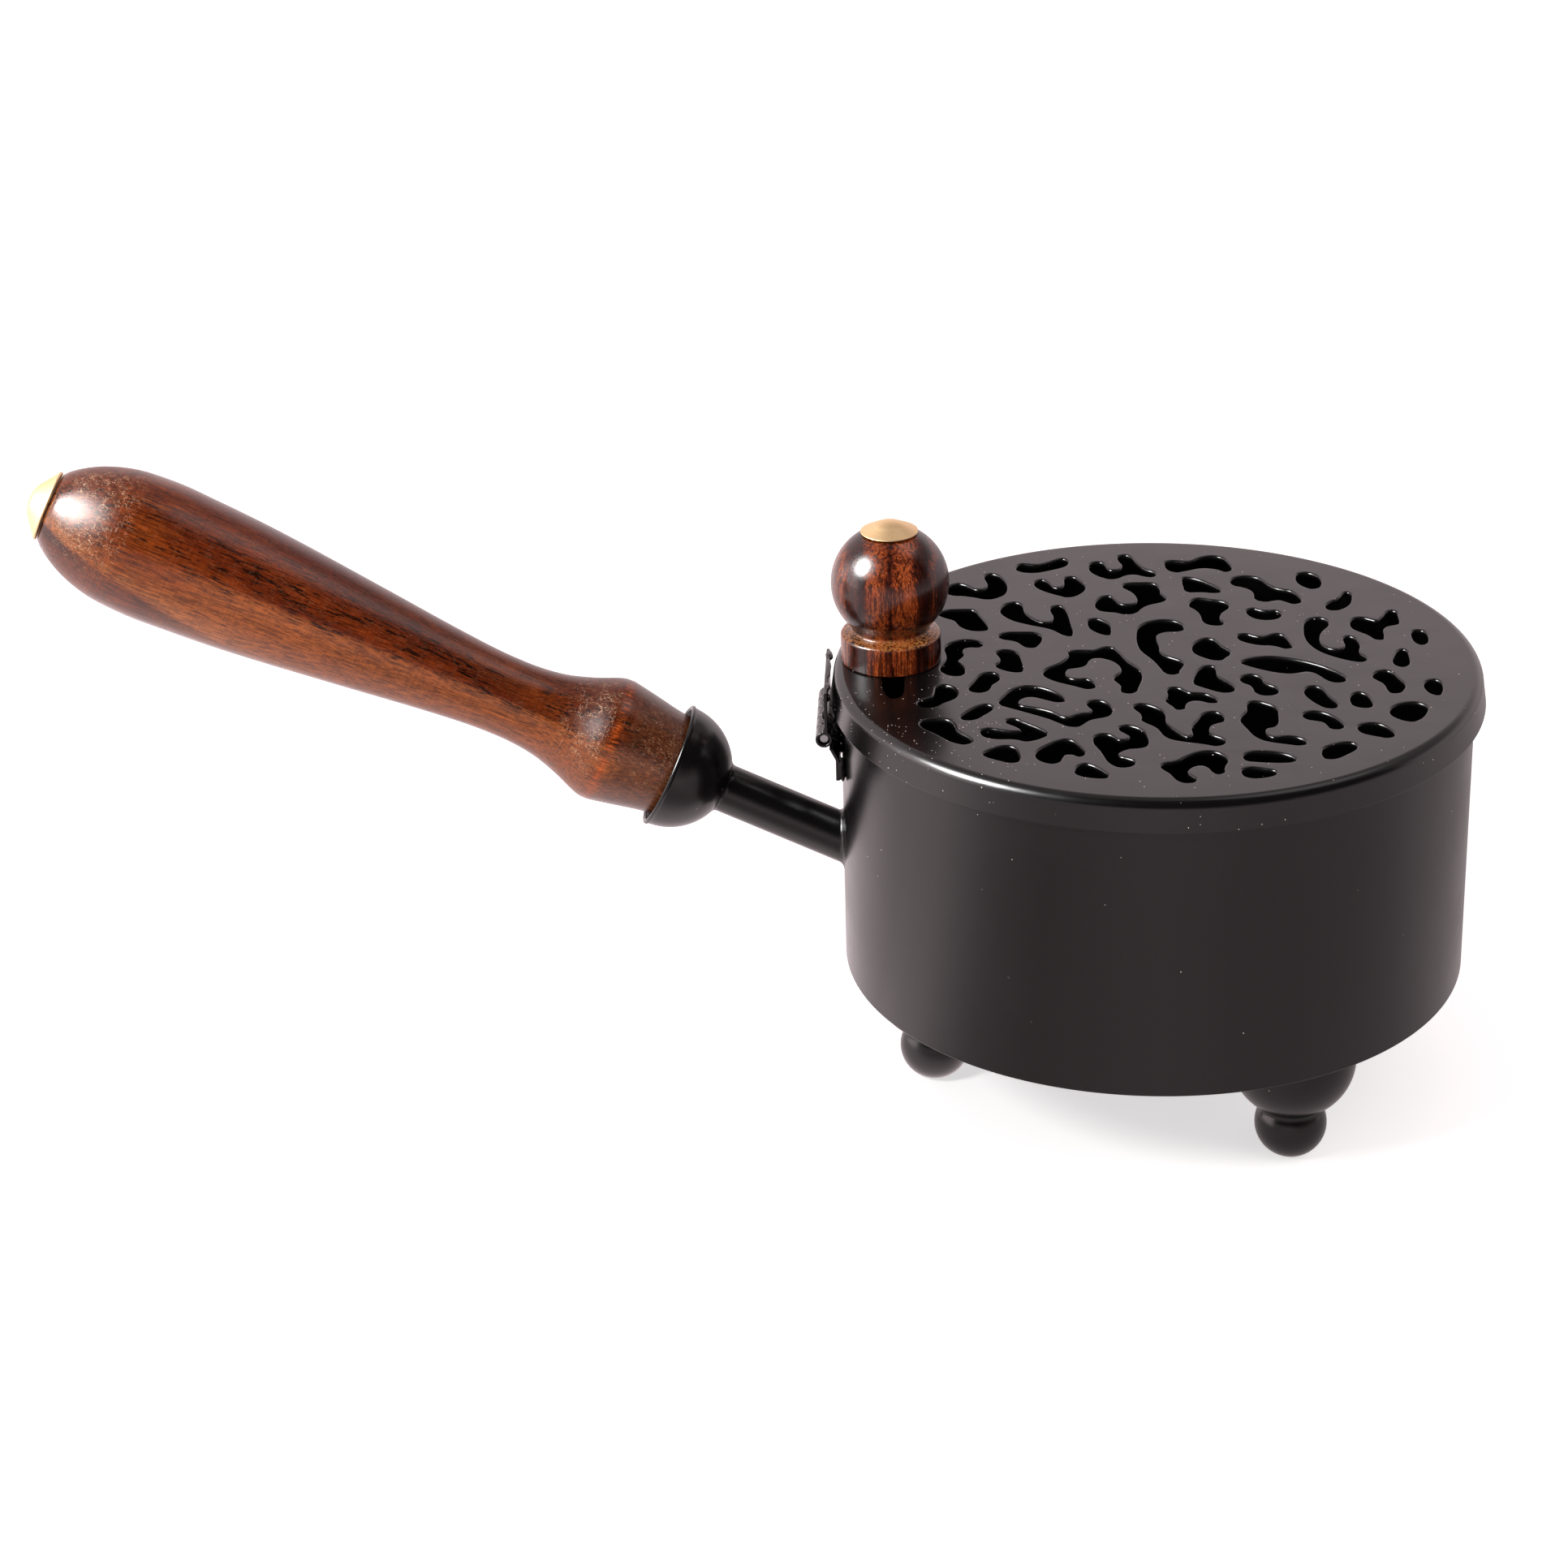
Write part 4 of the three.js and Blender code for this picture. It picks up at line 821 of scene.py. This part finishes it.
def makeLid():
    top, under = lidHigh.z, lidHigh.z - lid["sheet"]
    middle = panMiddle.to_2d()
    points, faces, topRims, underRims = [], [], [], []
    angles = [quarterTurn * step / lid["edgeSteps"] for step in range(lid["edgeSteps"] + 1)]

    def addRow(outline, heights):
        start = len(points)
        points.extend((spot.x, spot.y, height) for spot, height in zip(outline, heights))
        return range(start, len(points))

    # the largest outline is the lid's own, and the one at the knob's middle is its screw's hole
    for outline in sorted(lidOutlines(), key=lambda outline: -abs(area(outline)))[1:]:
        centre = sum(outline, Vector((0, 0))) / len(outline)
        if (centre - knobMiddle.to_2d()).length < lid["holeNear"]:
            continue
        outline = evenly([point - middle for point in outline], lid["facet"])
        if area(outline) < 0:
            outline.reverse()
        count = len(outline)
        ways = [(outline[(i + 1) % count] - outline[i - 1]).normalized() for i in range(count)]
        outwards = [Vector((way.y, -way.x)) for way in ways]
        rows = []
        for size, level, sign in ((lid["underEdge"], under, 1), (lid["spotEdge"], top, -1)):
            room = roundingRoom(outline, size)
            for angle in angles[::-sign]:
                spread = [outline[i] + outwards[i] * room[i] * (1 - math.cos(angle)) for i in range(count)]
                rows.append(addRow(spread, [level + sign * space * (1 - math.sin(angle)) for space in room]))
        faces += skin(rows[::-1])
        underRims.append(rows[0])
        topRims.append(rows[-1])

    flatRadius = lidRadius - lid["skirtFlare"] - lid["corner"]
    innerCorner = lid["corner"] - lid["sheet"]
    cornerHeight = top - lid["corner"]
    skirt = softened([
        (flatRadius + innerCorner, cornerHeight),
        (lidRadius - lid["sheet"], lidLow.z, lid["skirtEdge"]),
        (lidRadius, lidLow.z, lid["skirtEdge"]),
        (flatRadius + lid["corner"], cornerHeight),
    ], closed=False)
    profile = (arc(flatRadius, cornerHeight, innerCorner, 90, 0, 8) + skirt[1:-1]
               + arc(flatRadius, cornerHeight, lid["corner"], 0, 90, 16))
    shell = []
    for radius, height in profile:
        ring = [Vector((radius * math.cos(angle), radius * math.sin(angle)))
                for angle in turns(lid["steps"])]
        shell.append(addRow(ring, [height] * lid["steps"]))
    faces += skin(shell)

    for rims, edge, upwards in ((topRims, shell[-1], True), (underRims, shell[0], False)):
        loops = [edge] + rims
        order = [index for loop in loops for index in loop]
        for corners in tessellate_polygon([[Vector(points[index]) for index in loop] for loop in loops]):
            face = [order[corner] for corner in corners]
            one, two, three = [Vector(points[index]) for index in face]
            if ((two - one).cross(three - one).z > 0) != upwards:
                face.reverse()
            faces.append(face)
    makePiece("lidShell", (points, faces), panPlace, lidEnamel, "lid", ["lid_shell"])


makeLid()
print("lid made")


# Knob: a straight base, a cove and a ball
knob = {"baseRadius": 11.15, "baseHeight": 6.5, "baseEdge": 0.8, "footEdge": 0.45, "coveRadius": 8.6,
        "coveRise": 0.9, "coveEdge": 0.5, "undercut": 0.4, "ballEdge": 0.3, "ballRadius": 13.1,
        "ballHeight": 18.3, "seat": 6.05, "steps": 160}


# Polished sheesham cut across the rings: upright dark and orange stripes, broken up into flecks.
# The base's top and the cove show pale golden wood
knobWood = {
    "wander": 1.8, "slow": {"size": (4, 4, 11), "low": 0.2, "high": 0.8},
    "rings": [(-13, "#7a3014"), (-10.5, "#9c4418"), (-8.8, "#4a1a0c"), (-5.6, "#3c140a"), (-4.6, "#8a3614"),
              (-2.6, "#a84a1e"), (-0.8, "#742c12"), (0.2, "#3a140a"), (1.0, "#8c3816"), (3.0, "#a84a1e"),
              (5.0, "#923c18"), (6.2, "#481a0c"), (8.0, "#2a0d07"), (9.4, "#702c12"), (10.8, "#300f08"),
              (13, "#501c0c")],
    "dark": "#150503", "stripeDepth": 0.74, "stripes": {"size": (0.75, 0.75, 15), "low": 0.47, "high": 0.57},
    "flames": {"size": (0.26, 0.26, 3), "low": 0.46, "high": 0.60, "detail": 4, "roughness": 0.7},
    "flameDepth": 0.6, "fleck": "#d2743a", "fleckDepth": 0.7, "livelyBy": (0.04, 0.30),
    "flecks": {"size": (0.24, 0.24, 0.7), "low": 0.50, "high": 0.62},
    "gold": "#b8783e", "goldSpan": (6.1, 6.5, 7.4, 8.2), "goldShare": 0.9,
    "goldPatch": {"size": (0.6, 0.6, 0.4), "low": 0.40, "high": 0.58},
    "pores": {"size": (0.2, 0.2, 1.8), "low": 0.60, "high": 0.70, "detail": 2},
    # painted shade: the ball painted darker towards its underside
    "paintedUnderShade": 0.66, "paintedUnderShadeBy": (8, 23), "roughness": 0.16, "flameRoughness": 0.25, "grainDepth": 0.004,
    "ior": 1.5,
}


def makeKnobWood():
    look = knobWood
    material, tree, inMm = newMaterial("polishedSheesham", Matrix.Translation(knobMiddle))
    made = marksOf(tree, inMm, look)
    split = add(tree, "SeparateXYZ", {0: inMm})
    across, height = split.outputs[0], split.outputs[2]
    rings = growthRings(tree, made["slow"], look, across)
    striped = laidOver(tree, rings, look["dark"], made["stripes"], look["stripeDepth"])
    flamed = laidOver(tree, striped, look["dark"], made["flames"], look["flameDepth"])
    # bright flecks between the stripes, most of them where the rings are orange
    brightness = add(tree, "SeparateColor", {0: flamed})
    lively = add(tree, "MapRange", {0: brightness, **span(look["livelyBy"]), 4: look["fleckDepth"]})
    flecked = laidOver(tree, flamed, look["fleck"], made["flecks"], lively)
    goldDepth = add(tree, "Math", {
        "operation": "MULTIPLY", 0: within(tree, height, look["goldSpan"]), 1: look["goldShare"]})
    golden = laidOver(tree, flecked, look["gold"], goldDepth, made["goldPatch"])
    pored = add(tree, "Mix", {"data_type": "RGBA", 0: made["pores"], 6: golden, 7: linear(look["dark"])})
    # painted shade: the ball is painted darker towards its underside, where less light falls
    paintedUnderShade = add(tree, "MapRange", {0: height, **span(look["paintedUnderShadeBy"]), 3: look["paintedUnderShade"]})
    onBase = add(tree, "Math", {"operation": "LESS_THAN", 0: height, 1: look["paintedUnderShadeBy"][0]})
    tone = add(tree, "Math", {"operation": "MAXIMUM", 0: paintedUnderShade, 1: onBase})
    colour = add(tree, "VectorMath", {"operation": "SCALE", 0: pored, "Scale": tone})
    rough = add(tree, "MapRange", {0: made["flames"], 3: look["roughness"], 4: look["flameRoughness"]})
    sunk = add(tree, "Math", {"operation": "SUBTRACT", 0: 1, 1: made["flames"]})
    bump = bumps(tree, (sunk, look["grainDepth"]))
    return surfaced(material, tree, {
        "IOR": look["ior"], "Base Color": colour, "Roughness": rough, "Normal": bump})


def makeKnob():
    size, base = knob["ballRadius"], knob["baseRadius"]
    lowAngle = -angleOut(knob["coveRadius"] + knob["undercut"], size)
    ball = arc(0, knob["ballHeight"], size, lowAngle, angleOut(knob["seat"], size), 44)
    corners = [
        (0, 0),
        (base, 0, knob["footEdge"]),
        (base, knob["baseHeight"], knob["baseEdge"]),
        (knob["coveRadius"], knob["baseHeight"] + knob["coveRise"], knob["coveEdge"]),
        (*ball[0], knob["ballEdge"]),
        ball[1],
    ]
    profile = softened(corners, closed=False)[:-1] + ball[1:] + [(0, ball[-1][1])]
    place = Matrix.Translation(knobMiddle)
    makePiece("lidKnob", turned(profile, knob["steps"]), place, makeKnobWood(), "lid",
              ["lid_knob"])
    capPlace = Matrix.Translation(knobMiddle + Vector((0, 0, ball[-1][1] + knobCap["seat"])))
    makePiece("knobCap", capShape(knobCap), capPlace, makeBrass("turnedKnobBrass", capPlace), "lid",
              ["knob_cap"])


def makeKnobScrew():
    under = lidHigh.z - lid["sheet"]
    place = Matrix.Translation((knobMiddle.x, knobMiddle.y, under)) @ Matrix.Rotation(math.pi, 4, "X")
    shape = screwShape(knobScrew, boxInMm("knob_screw")[1].z - under)
    makePiece("knobScrew", shape, place, zincSteel, "lid", ["knob_screw"])


makeKnob()
makeKnobScrew()
print("knob made")


# Hinge, in the pin's frame: x towards the pan, y along the pin. The leaves are welded on and
# thickly painted, so each is built as solids, melted together and smoothed
hinge = {
    "length": 25, "knuckles": 5, "gap": 0.3, "sheet": 0.8, "barrel": 1.9, "bore": 1.25, "boreEdge": 0.15,
    "barrelEdge": 0.2, "barrelSteps": 48, "lidLeafFace": 0.9, "lidLeafReach": 11.2, "panLeafReach": 10,
    "crank": (1.6, 5), "wallFace": 3.3, "paintStep": 0.16, "pin": 1.0, "pinEdge": 0.3, "pinRound": 0.2,
    "pinRecess": 0.8, "pinSteps": 40,
    "strapStart": 0.05, "strapEnd": 1.15,
}
hingePlace = Matrix.Translation((pinLow + pinHigh) / 2)
alongPin = Matrix.Rotation(-quarterTurn, 4, "X")

# Centre, size and seed of each lump of weld or paint on the upper and the lower leaf
lidWeld = [
    ((0.8, -10.9, 9.6), (0.7, 0.9, 1.0), 1), ((0.8, -8.0, 10.9), (0.7, 2.2, 0.45), 2),
    ((0.8, 1.5, 11.1), (0.6, 5.5, 0.35), 4), ((0.8, 9.4, 10.8), (0.8, 2.4, 0.6), 7),
    ((-0.1, -11.4, 5.6), (0.3, 0.7, 1.3), 8), ((0.0, -11.7, 2.2), (0.35, 0.6, 0.8), 9),
    ((0.0, -8.6, 8.2), (0.25, 0.6, 0.5), 10),
]
panWeld = [
    ((3.8, -11.7, -7.4), (0.9, 0.9, 2.9), 12), ((3.8, 11.7, -7.4), (0.9, 0.9, 2.9), 13),
    ((3.3, -4.0, -9.9), (0.7, 2.6, 0.5), 14), ((3.3, 4.5, -9.9), (0.7, 2.2, 0.5), 15),
    ((3.6, -9.2, -9.8), (0.8, 1.8, 0.6), 16), ((3.6, 9.4, -9.8), (0.8, 1.8, 0.6), 17),
]
lumpiness = {"share": 0.35, "scale": 1.7, "fineness": 3}


def addSolid(build, shape, place=Matrix.Identity(4)):
    points, faces = shape
    made = [build.verts.new(place @ Vector(point)) for point in points]
    for face in faces:
        build.faces.new([made[index] for index in face])


# A flat strip bent to an outline in x and z, from one end to the other along y
def stripShape(outline, start, end):
    return lofted([[(x, y, z) for x, z in outline] for y in (start, end)], flatEnds=True)


# A ball pulled out of round
def lumpShape(centre, size, seed):
    build = bmesh.new()
    bmesh.ops.create_icosphere(build, subdivisions=lumpiness["fineness"], radius=1)
    points = []
    for vertex in build.verts:
        spot = vertex.co * lumpiness["scale"] + Vector((seed, 0, 0))
        stretch = 1 + lumpiness["share"] * noise.noise(spot)
        points.append(Vector(centre) + Vector([vertex.co[i] * size[i] * stretch for i in range(3)]))
    faces = [[vertex.index for vertex in face.verts] for face in build.faces]
    build.free()
    return points, faces


# The leaf's own strip stops short of the barrel, and only its knuckles reach into it
def makeLeaf(name, outline, first, side, lumps, body, replaced):
    build = bmesh.new()
    edge = hinge["barrel"] + hinge["gap"]
    half = hinge["length"] / 2
    addSolid(build, stripShape([(x, side * max(edge, z * side)) for x, z in outline], -half, half))
    pitch = (hinge["length"] + hinge["gap"]) / hinge["knuckles"]
    inner, outer = (hinge["bore"], hinge["boreEdge"]), (hinge["barrel"], hinge["barrelEdge"])
    for index in range(first, hinge["knuckles"], 2):
        start = index * pitch - half
        end = start + pitch - hinge["gap"]
        strap = [(x, z if z * side < edge else side * edge * hinge["strapEnd"]) for x, z in outline]
        addSolid(build, stripShape(strap, start, end))
        profile = [(size, y, rounding) for (size, rounding), y in
                   ((inner, start), (outer, start), (outer, end), (inner, end))]
        addSolid(build, turned(softened(profile), hinge["barrelSteps"], closed=True), alongPin)
    for centre, size, seed in lumps:
        addSolid(build, lumpShape(centre, size, seed))
    bmesh.ops.recalc_face_normals(build, faces=build.faces)
    mesh = bpy.data.meshes.new(name)
    build.to_mesh(mesh)
    build.free()
    source = bpy.data.objects.new(name + "Source", mesh)
    scene.collection.objects.link(source)
    melt = source.modifiers.new("melt", "REMESH")
    melt.mode = "VOXEL"
    melt.voxel_size = hinge["paintStep"]
    soften = source.modifiers.new("soften", "SMOOTH")
    soften.iterations = 3
    melted = bpy.data.meshes.new_from_object(source.evaluated_get(bpy.context.evaluated_depsgraph_get()))
    shape = ([vertex.co.copy() for vertex in melted.vertices],
             [tuple(face.vertices) for face in melted.polygons])
    bpy.data.objects.remove(source)
    makePiece(name, shape, hingePlace, panEnamel, body, [replaced])


def makeHinge():
    face, sheet, reach = hinge["lidLeafFace"], hinge["sheet"], hinge["lidLeafReach"]
    start = hinge["bore"] + hinge["strapStart"]
    upper = [(face - sheet, start), (face, start), (face, reach), (face - sheet, reach)]
    makeLeaf("hingeLidLeaf", upper, 0, 1, lidWeld, "lid", "hinge_lid_leaf")
    crankTop, crankFoot = hinge["crank"]
    outer = [(hinge["barrel"], 0), (hinge["barrel"], -crankTop), (hinge["wallFace"], -crankFoot),
             (hinge["wallFace"], -hinge["panLeafReach"])]
    lower = [(x - sheet, z) for x, z in outer] + outer[::-1]
    makeLeaf("hingePanLeaf", lower, 1, -1, panWeld, "pan", "hinge_pan_leaf")
    half, pin, rounding = hinge["length"] / 2 - hinge["pinRecess"], hinge["pin"], hinge["pinRound"]
    edge = pin - hinge["pinEdge"]
    corners = [(edge, -half), (pin, -half, rounding), (pin, half, rounding), (edge, half)]
    profile = [(0, -half)] + softened(corners, closed=False) + [(0, half)]
    makePiece("hingePin", turned(profile, hinge["pinSteps"]), hingePlace @ alongPin, zincSteel, "pan",
              ["hinge_pin"])


makeHinge()
print("hinge made")


# Floor and soft studio light. Mirrored rays see the floor glow, with painted light and painted shadow
# by direction from the pan. What polished faces see is white behind the object, brightest to the left,
# with a dim ceiling over it and almost nothing above in front. Paper white is a little warm in the mirrored
# light
studio = {
    "floor": "#f2f0ef", "floorGlow": 0.60, "floorSize": 6, "surround": "#ffeef1", "daylight": 0.58,
    "seenLevel": 1.25, "unlit": 0.015, "ceiling": 0.40, "behindEdge": (-0.01, 0.02),
    "backLevel": 1.08, "backTop": (0.50, 0.70), "leftLift": 0.30,
    "frontLevels": (0.80, 0.40), "frontSides": (-0.1, 0.3), "frontTop": (0.13, 0.21),
    "windowLevel": 3.5, "windowEdge": (-0.95, -0.80), "windowTop": (0.45, 0.70),
    "floorLevels": (1.6, 2.2), "floorNearTo": (240, 420),
    # painted light and shadow: share of its level that the floor glows with for mirrored rays in each
    # direction from the pan, by turns from the left; the low shares are painted shadow
    "paintedFloorLightShares": [(0, 0.85), (0.02, 0.85), (0.045, 0.90), (0.07, 0.66), (0.10, 0.42), (0.15, 0.32),
                    (0.25, 0.44), (0.33, 0.36), (0.45, 0.36), (0.5, 0.40), (0.6, 0.33), (0.66, 0.33),
                    (0.72, 0.35), (0.80, 0.47), (0.85, 0.75)],
}


# 1 for a ray that has been mirrored or has come through something
def mirroredRay(tree, ray):
    return add(tree, "Math", {
        "operation": "MAXIMUM", 0: ray.outputs["Is Glossy Ray"], 1: ray.outputs["Is Transmission Ray"]})


def makeFloor():
    half = studio["floorSize"] / 2
    mesh = bpy.data.meshes.new("floor")
    corners = [(-half, -half, 0), (half, -half, 0), (half, half, 0), (-half, half, 0)]
    mesh.from_pydata(corners, [], [(0, 1, 2, 3)])
    floor = bpy.data.objects.new("floor", mesh)
    scene.collection.objects.link(floor)
    material, tree, inMm = newMaterial("paleFloor", panPlace)
    ray = add(tree, "LightPath")
    matt = add(tree, "BsdfDiffuse", {"Color": linear(studio["floor"])})
    glowLevel = add(tree, "Math", {
        "operation": "MULTIPLY", 0: ray.outputs["Is Camera Ray"], 1: studio["floorGlow"]})
    glow = add(tree, "Emission", {"Strength": glowLevel})
    seen = add(tree, "AddShader", {0: matt, 1: glow})
    turn = add(tree, "TexGradient", {"gradient_type": "RADIAL", "Vector": inMm})
    shares = add(tree, "ValToRGB", {0: turn.outputs["Fac"]})
    setRamp(shares, [(at, (share, share, share, 1)) for at, share in studio["paintedFloorLightShares"]])
    away = add(tree, "VectorMath", {"operation": "LENGTH", 0: inMm})
    near, far = studio["floorLevels"]
    brightest = add(tree, "MapRange", {0: away, **span(studio["floorNearTo"]), 3: near, 4: far})
    level = add(tree, "Math", {"operation": "MULTIPLY", 0: shares, 1: brightest})
    # the floor's glow for mirrored rays: painted light and painted shadow, not light from the lamps
    mirrored = add(tree, "Emission", {"Color": linear(studio["surround"]), "Strength": level})
    either = add(tree, "MixShader", {0: mirroredRay(tree, ray), 1: seen, 2: mirrored})
    add(tree, "OutputMaterial", {"Surface": either})
    mesh.materials.append(material)


def makeSurround():
    world = bpy.data.worlds.new("whiteSurround")
    scene.world = world
    world.use_nodes = True
    tree = world.node_tree
    tree.nodes.clear()
    ray = add(tree, "LightPath")
    way = add(tree, "SeparateXYZ", {0: add(tree, "TexCoord").outputs["Generated"]})
    toRight, toBack, up = way.outputs
    smooth = {"interpolation_type": "SMOOTHSTEP"}
    # behind: white up to a height that is greater on the left
    lifted = add(tree, "Math", {"operation": "MULTIPLY_ADD", 0: toRight, 1: studio["leftLift"], 2: up})
    back = add(tree, "MapRange", {
        **smooth, 0: lifted, **span(studio["backTop"]), 3: studio["backLevel"], 4: studio["ceiling"]})
    # in front: lit only near the floor, more on the left
    left, right = studio["frontLevels"]
    side = add(tree, "MapRange", {**smooth, 0: toRight, **span(studio["frontSides"]), 3: left, 4: right})
    front = add(tree, "MapRange", {**smooth, 0: up, **span(studio["frontTop"]), 3: side, 4: studio["unlit"]})
    behind = add(tree, "MapRange", {**smooth, 0: toBack, **span(studio["behindEdge"])})
    around = add(tree, "MapRange", {0: behind, 3: front, 4: back})
    # a wide window on the left
    toWindow = add(tree, "MapRange", {
        **smooth, 0: toRight, **span(studio["windowEdge"]), 3: studio["windowLevel"], 4: 0})
    window = add(tree, "MapRange", {**smooth, 0: up, **span(studio["windowTop"]), 3: toWindow, 4: 0})
    mirrored = add(tree, "Math", {"operation": "MAXIMUM", 0: around, 1: window})
    soft = add(tree, "MapRange", {0: mirroredRay(tree, ray), 3: studio["daylight"], 4: mirrored})
    level = add(tree, "MapRange", {0: ray.outputs["Is Camera Ray"], 3: soft, 4: studio["seenLevel"]})
    shown = add(tree, "Background", {"Color": linear(studio["surround"]), "Strength": level})
    add(tree, "OutputWorld", {"Surface": shown})


# Lamps: place in metres, size, watts, and whether they gleam in surfaces or light them
lamps = {
    "keyLight": {"at": (-0.62, -0.62, 0.74), "size": 0.24, "watts": 6.0, "gleams": False},
    "keyGleam": {"at": (-0.45, -0.17, 0.477), "size": 0.34, "watts": 13, "gleams": True},
    "topRightGleam": {"at": (0.50, 0.12, 1.0), "size": 0.56, "watts": 0.7, "gleams": True},
    "fillRight": {"at": (0.9, -0.5, 0.9), "size": 0.9, "watts": 2.5, "gleams": False},
}
aimAt = Vector((0.03, 0, 0.07))


def makeLamp(name, lamp):
    light = bpy.data.lights.new(name, "AREA")
    light.shape = "DISK"
    light.size = lamp["size"]
    light.energy = lamp["watts"]
    thing = bpy.data.objects.new(name, light)
    thing.visible_diffuse = not lamp["gleams"]
    thing.visible_glossy = lamp["gleams"]
    thing.location = lamp["at"]
    thing.rotation_euler = (aimAt - Vector(lamp["at"])).to_track_quat("-Z", "Y").to_euler()
    scene.collection.objects.link(thing)


makeFloor()
makeSurround()
for name, lamp in lamps.items():
    makeLamp(name, lamp)
scene.view_settings.view_transform = "Standard"
print("studio made")


# Camera: place in millimetres, then degrees it is turned, looks down and rolls
view = {"at": (44.348, -794.47, 451.21), "turn": -2.859, "down": 25.488, "roll": -1.588, "lens": 89.62,
        "sensor": 36, "nearest": 0.05, "farthest": 20}


def makeCamera():
    turn, down, roll = (math.radians(view[key]) for key in ("turn", "down", "roll"))
    ahead = Vector((math.sin(turn) * math.cos(down), math.cos(turn) * math.cos(down), -math.sin(down)))
    level = Vector((math.cos(turn), -math.sin(turn), 0))
    upright = level.cross(ahead)
    right = math.cos(roll) * level + math.sin(roll) * upright
    up = math.cos(roll) * upright - math.sin(roll) * level
    camera = bpy.data.objects.new("camera", bpy.data.cameras.new("camera"))
    camera.data.lens = view["lens"]
    camera.data.sensor_width = view["sensor"]
    camera.data.clip_start = view["nearest"]
    camera.data.clip_end = view["farthest"]
    place = Matrix((right, up, -ahead)).transposed().to_4x4()
    place.translation = Vector(view["at"]) * mm
    camera.matrix_world = place
    scene.collection.objects.link(camera)
    scene.camera = camera


makeCamera()
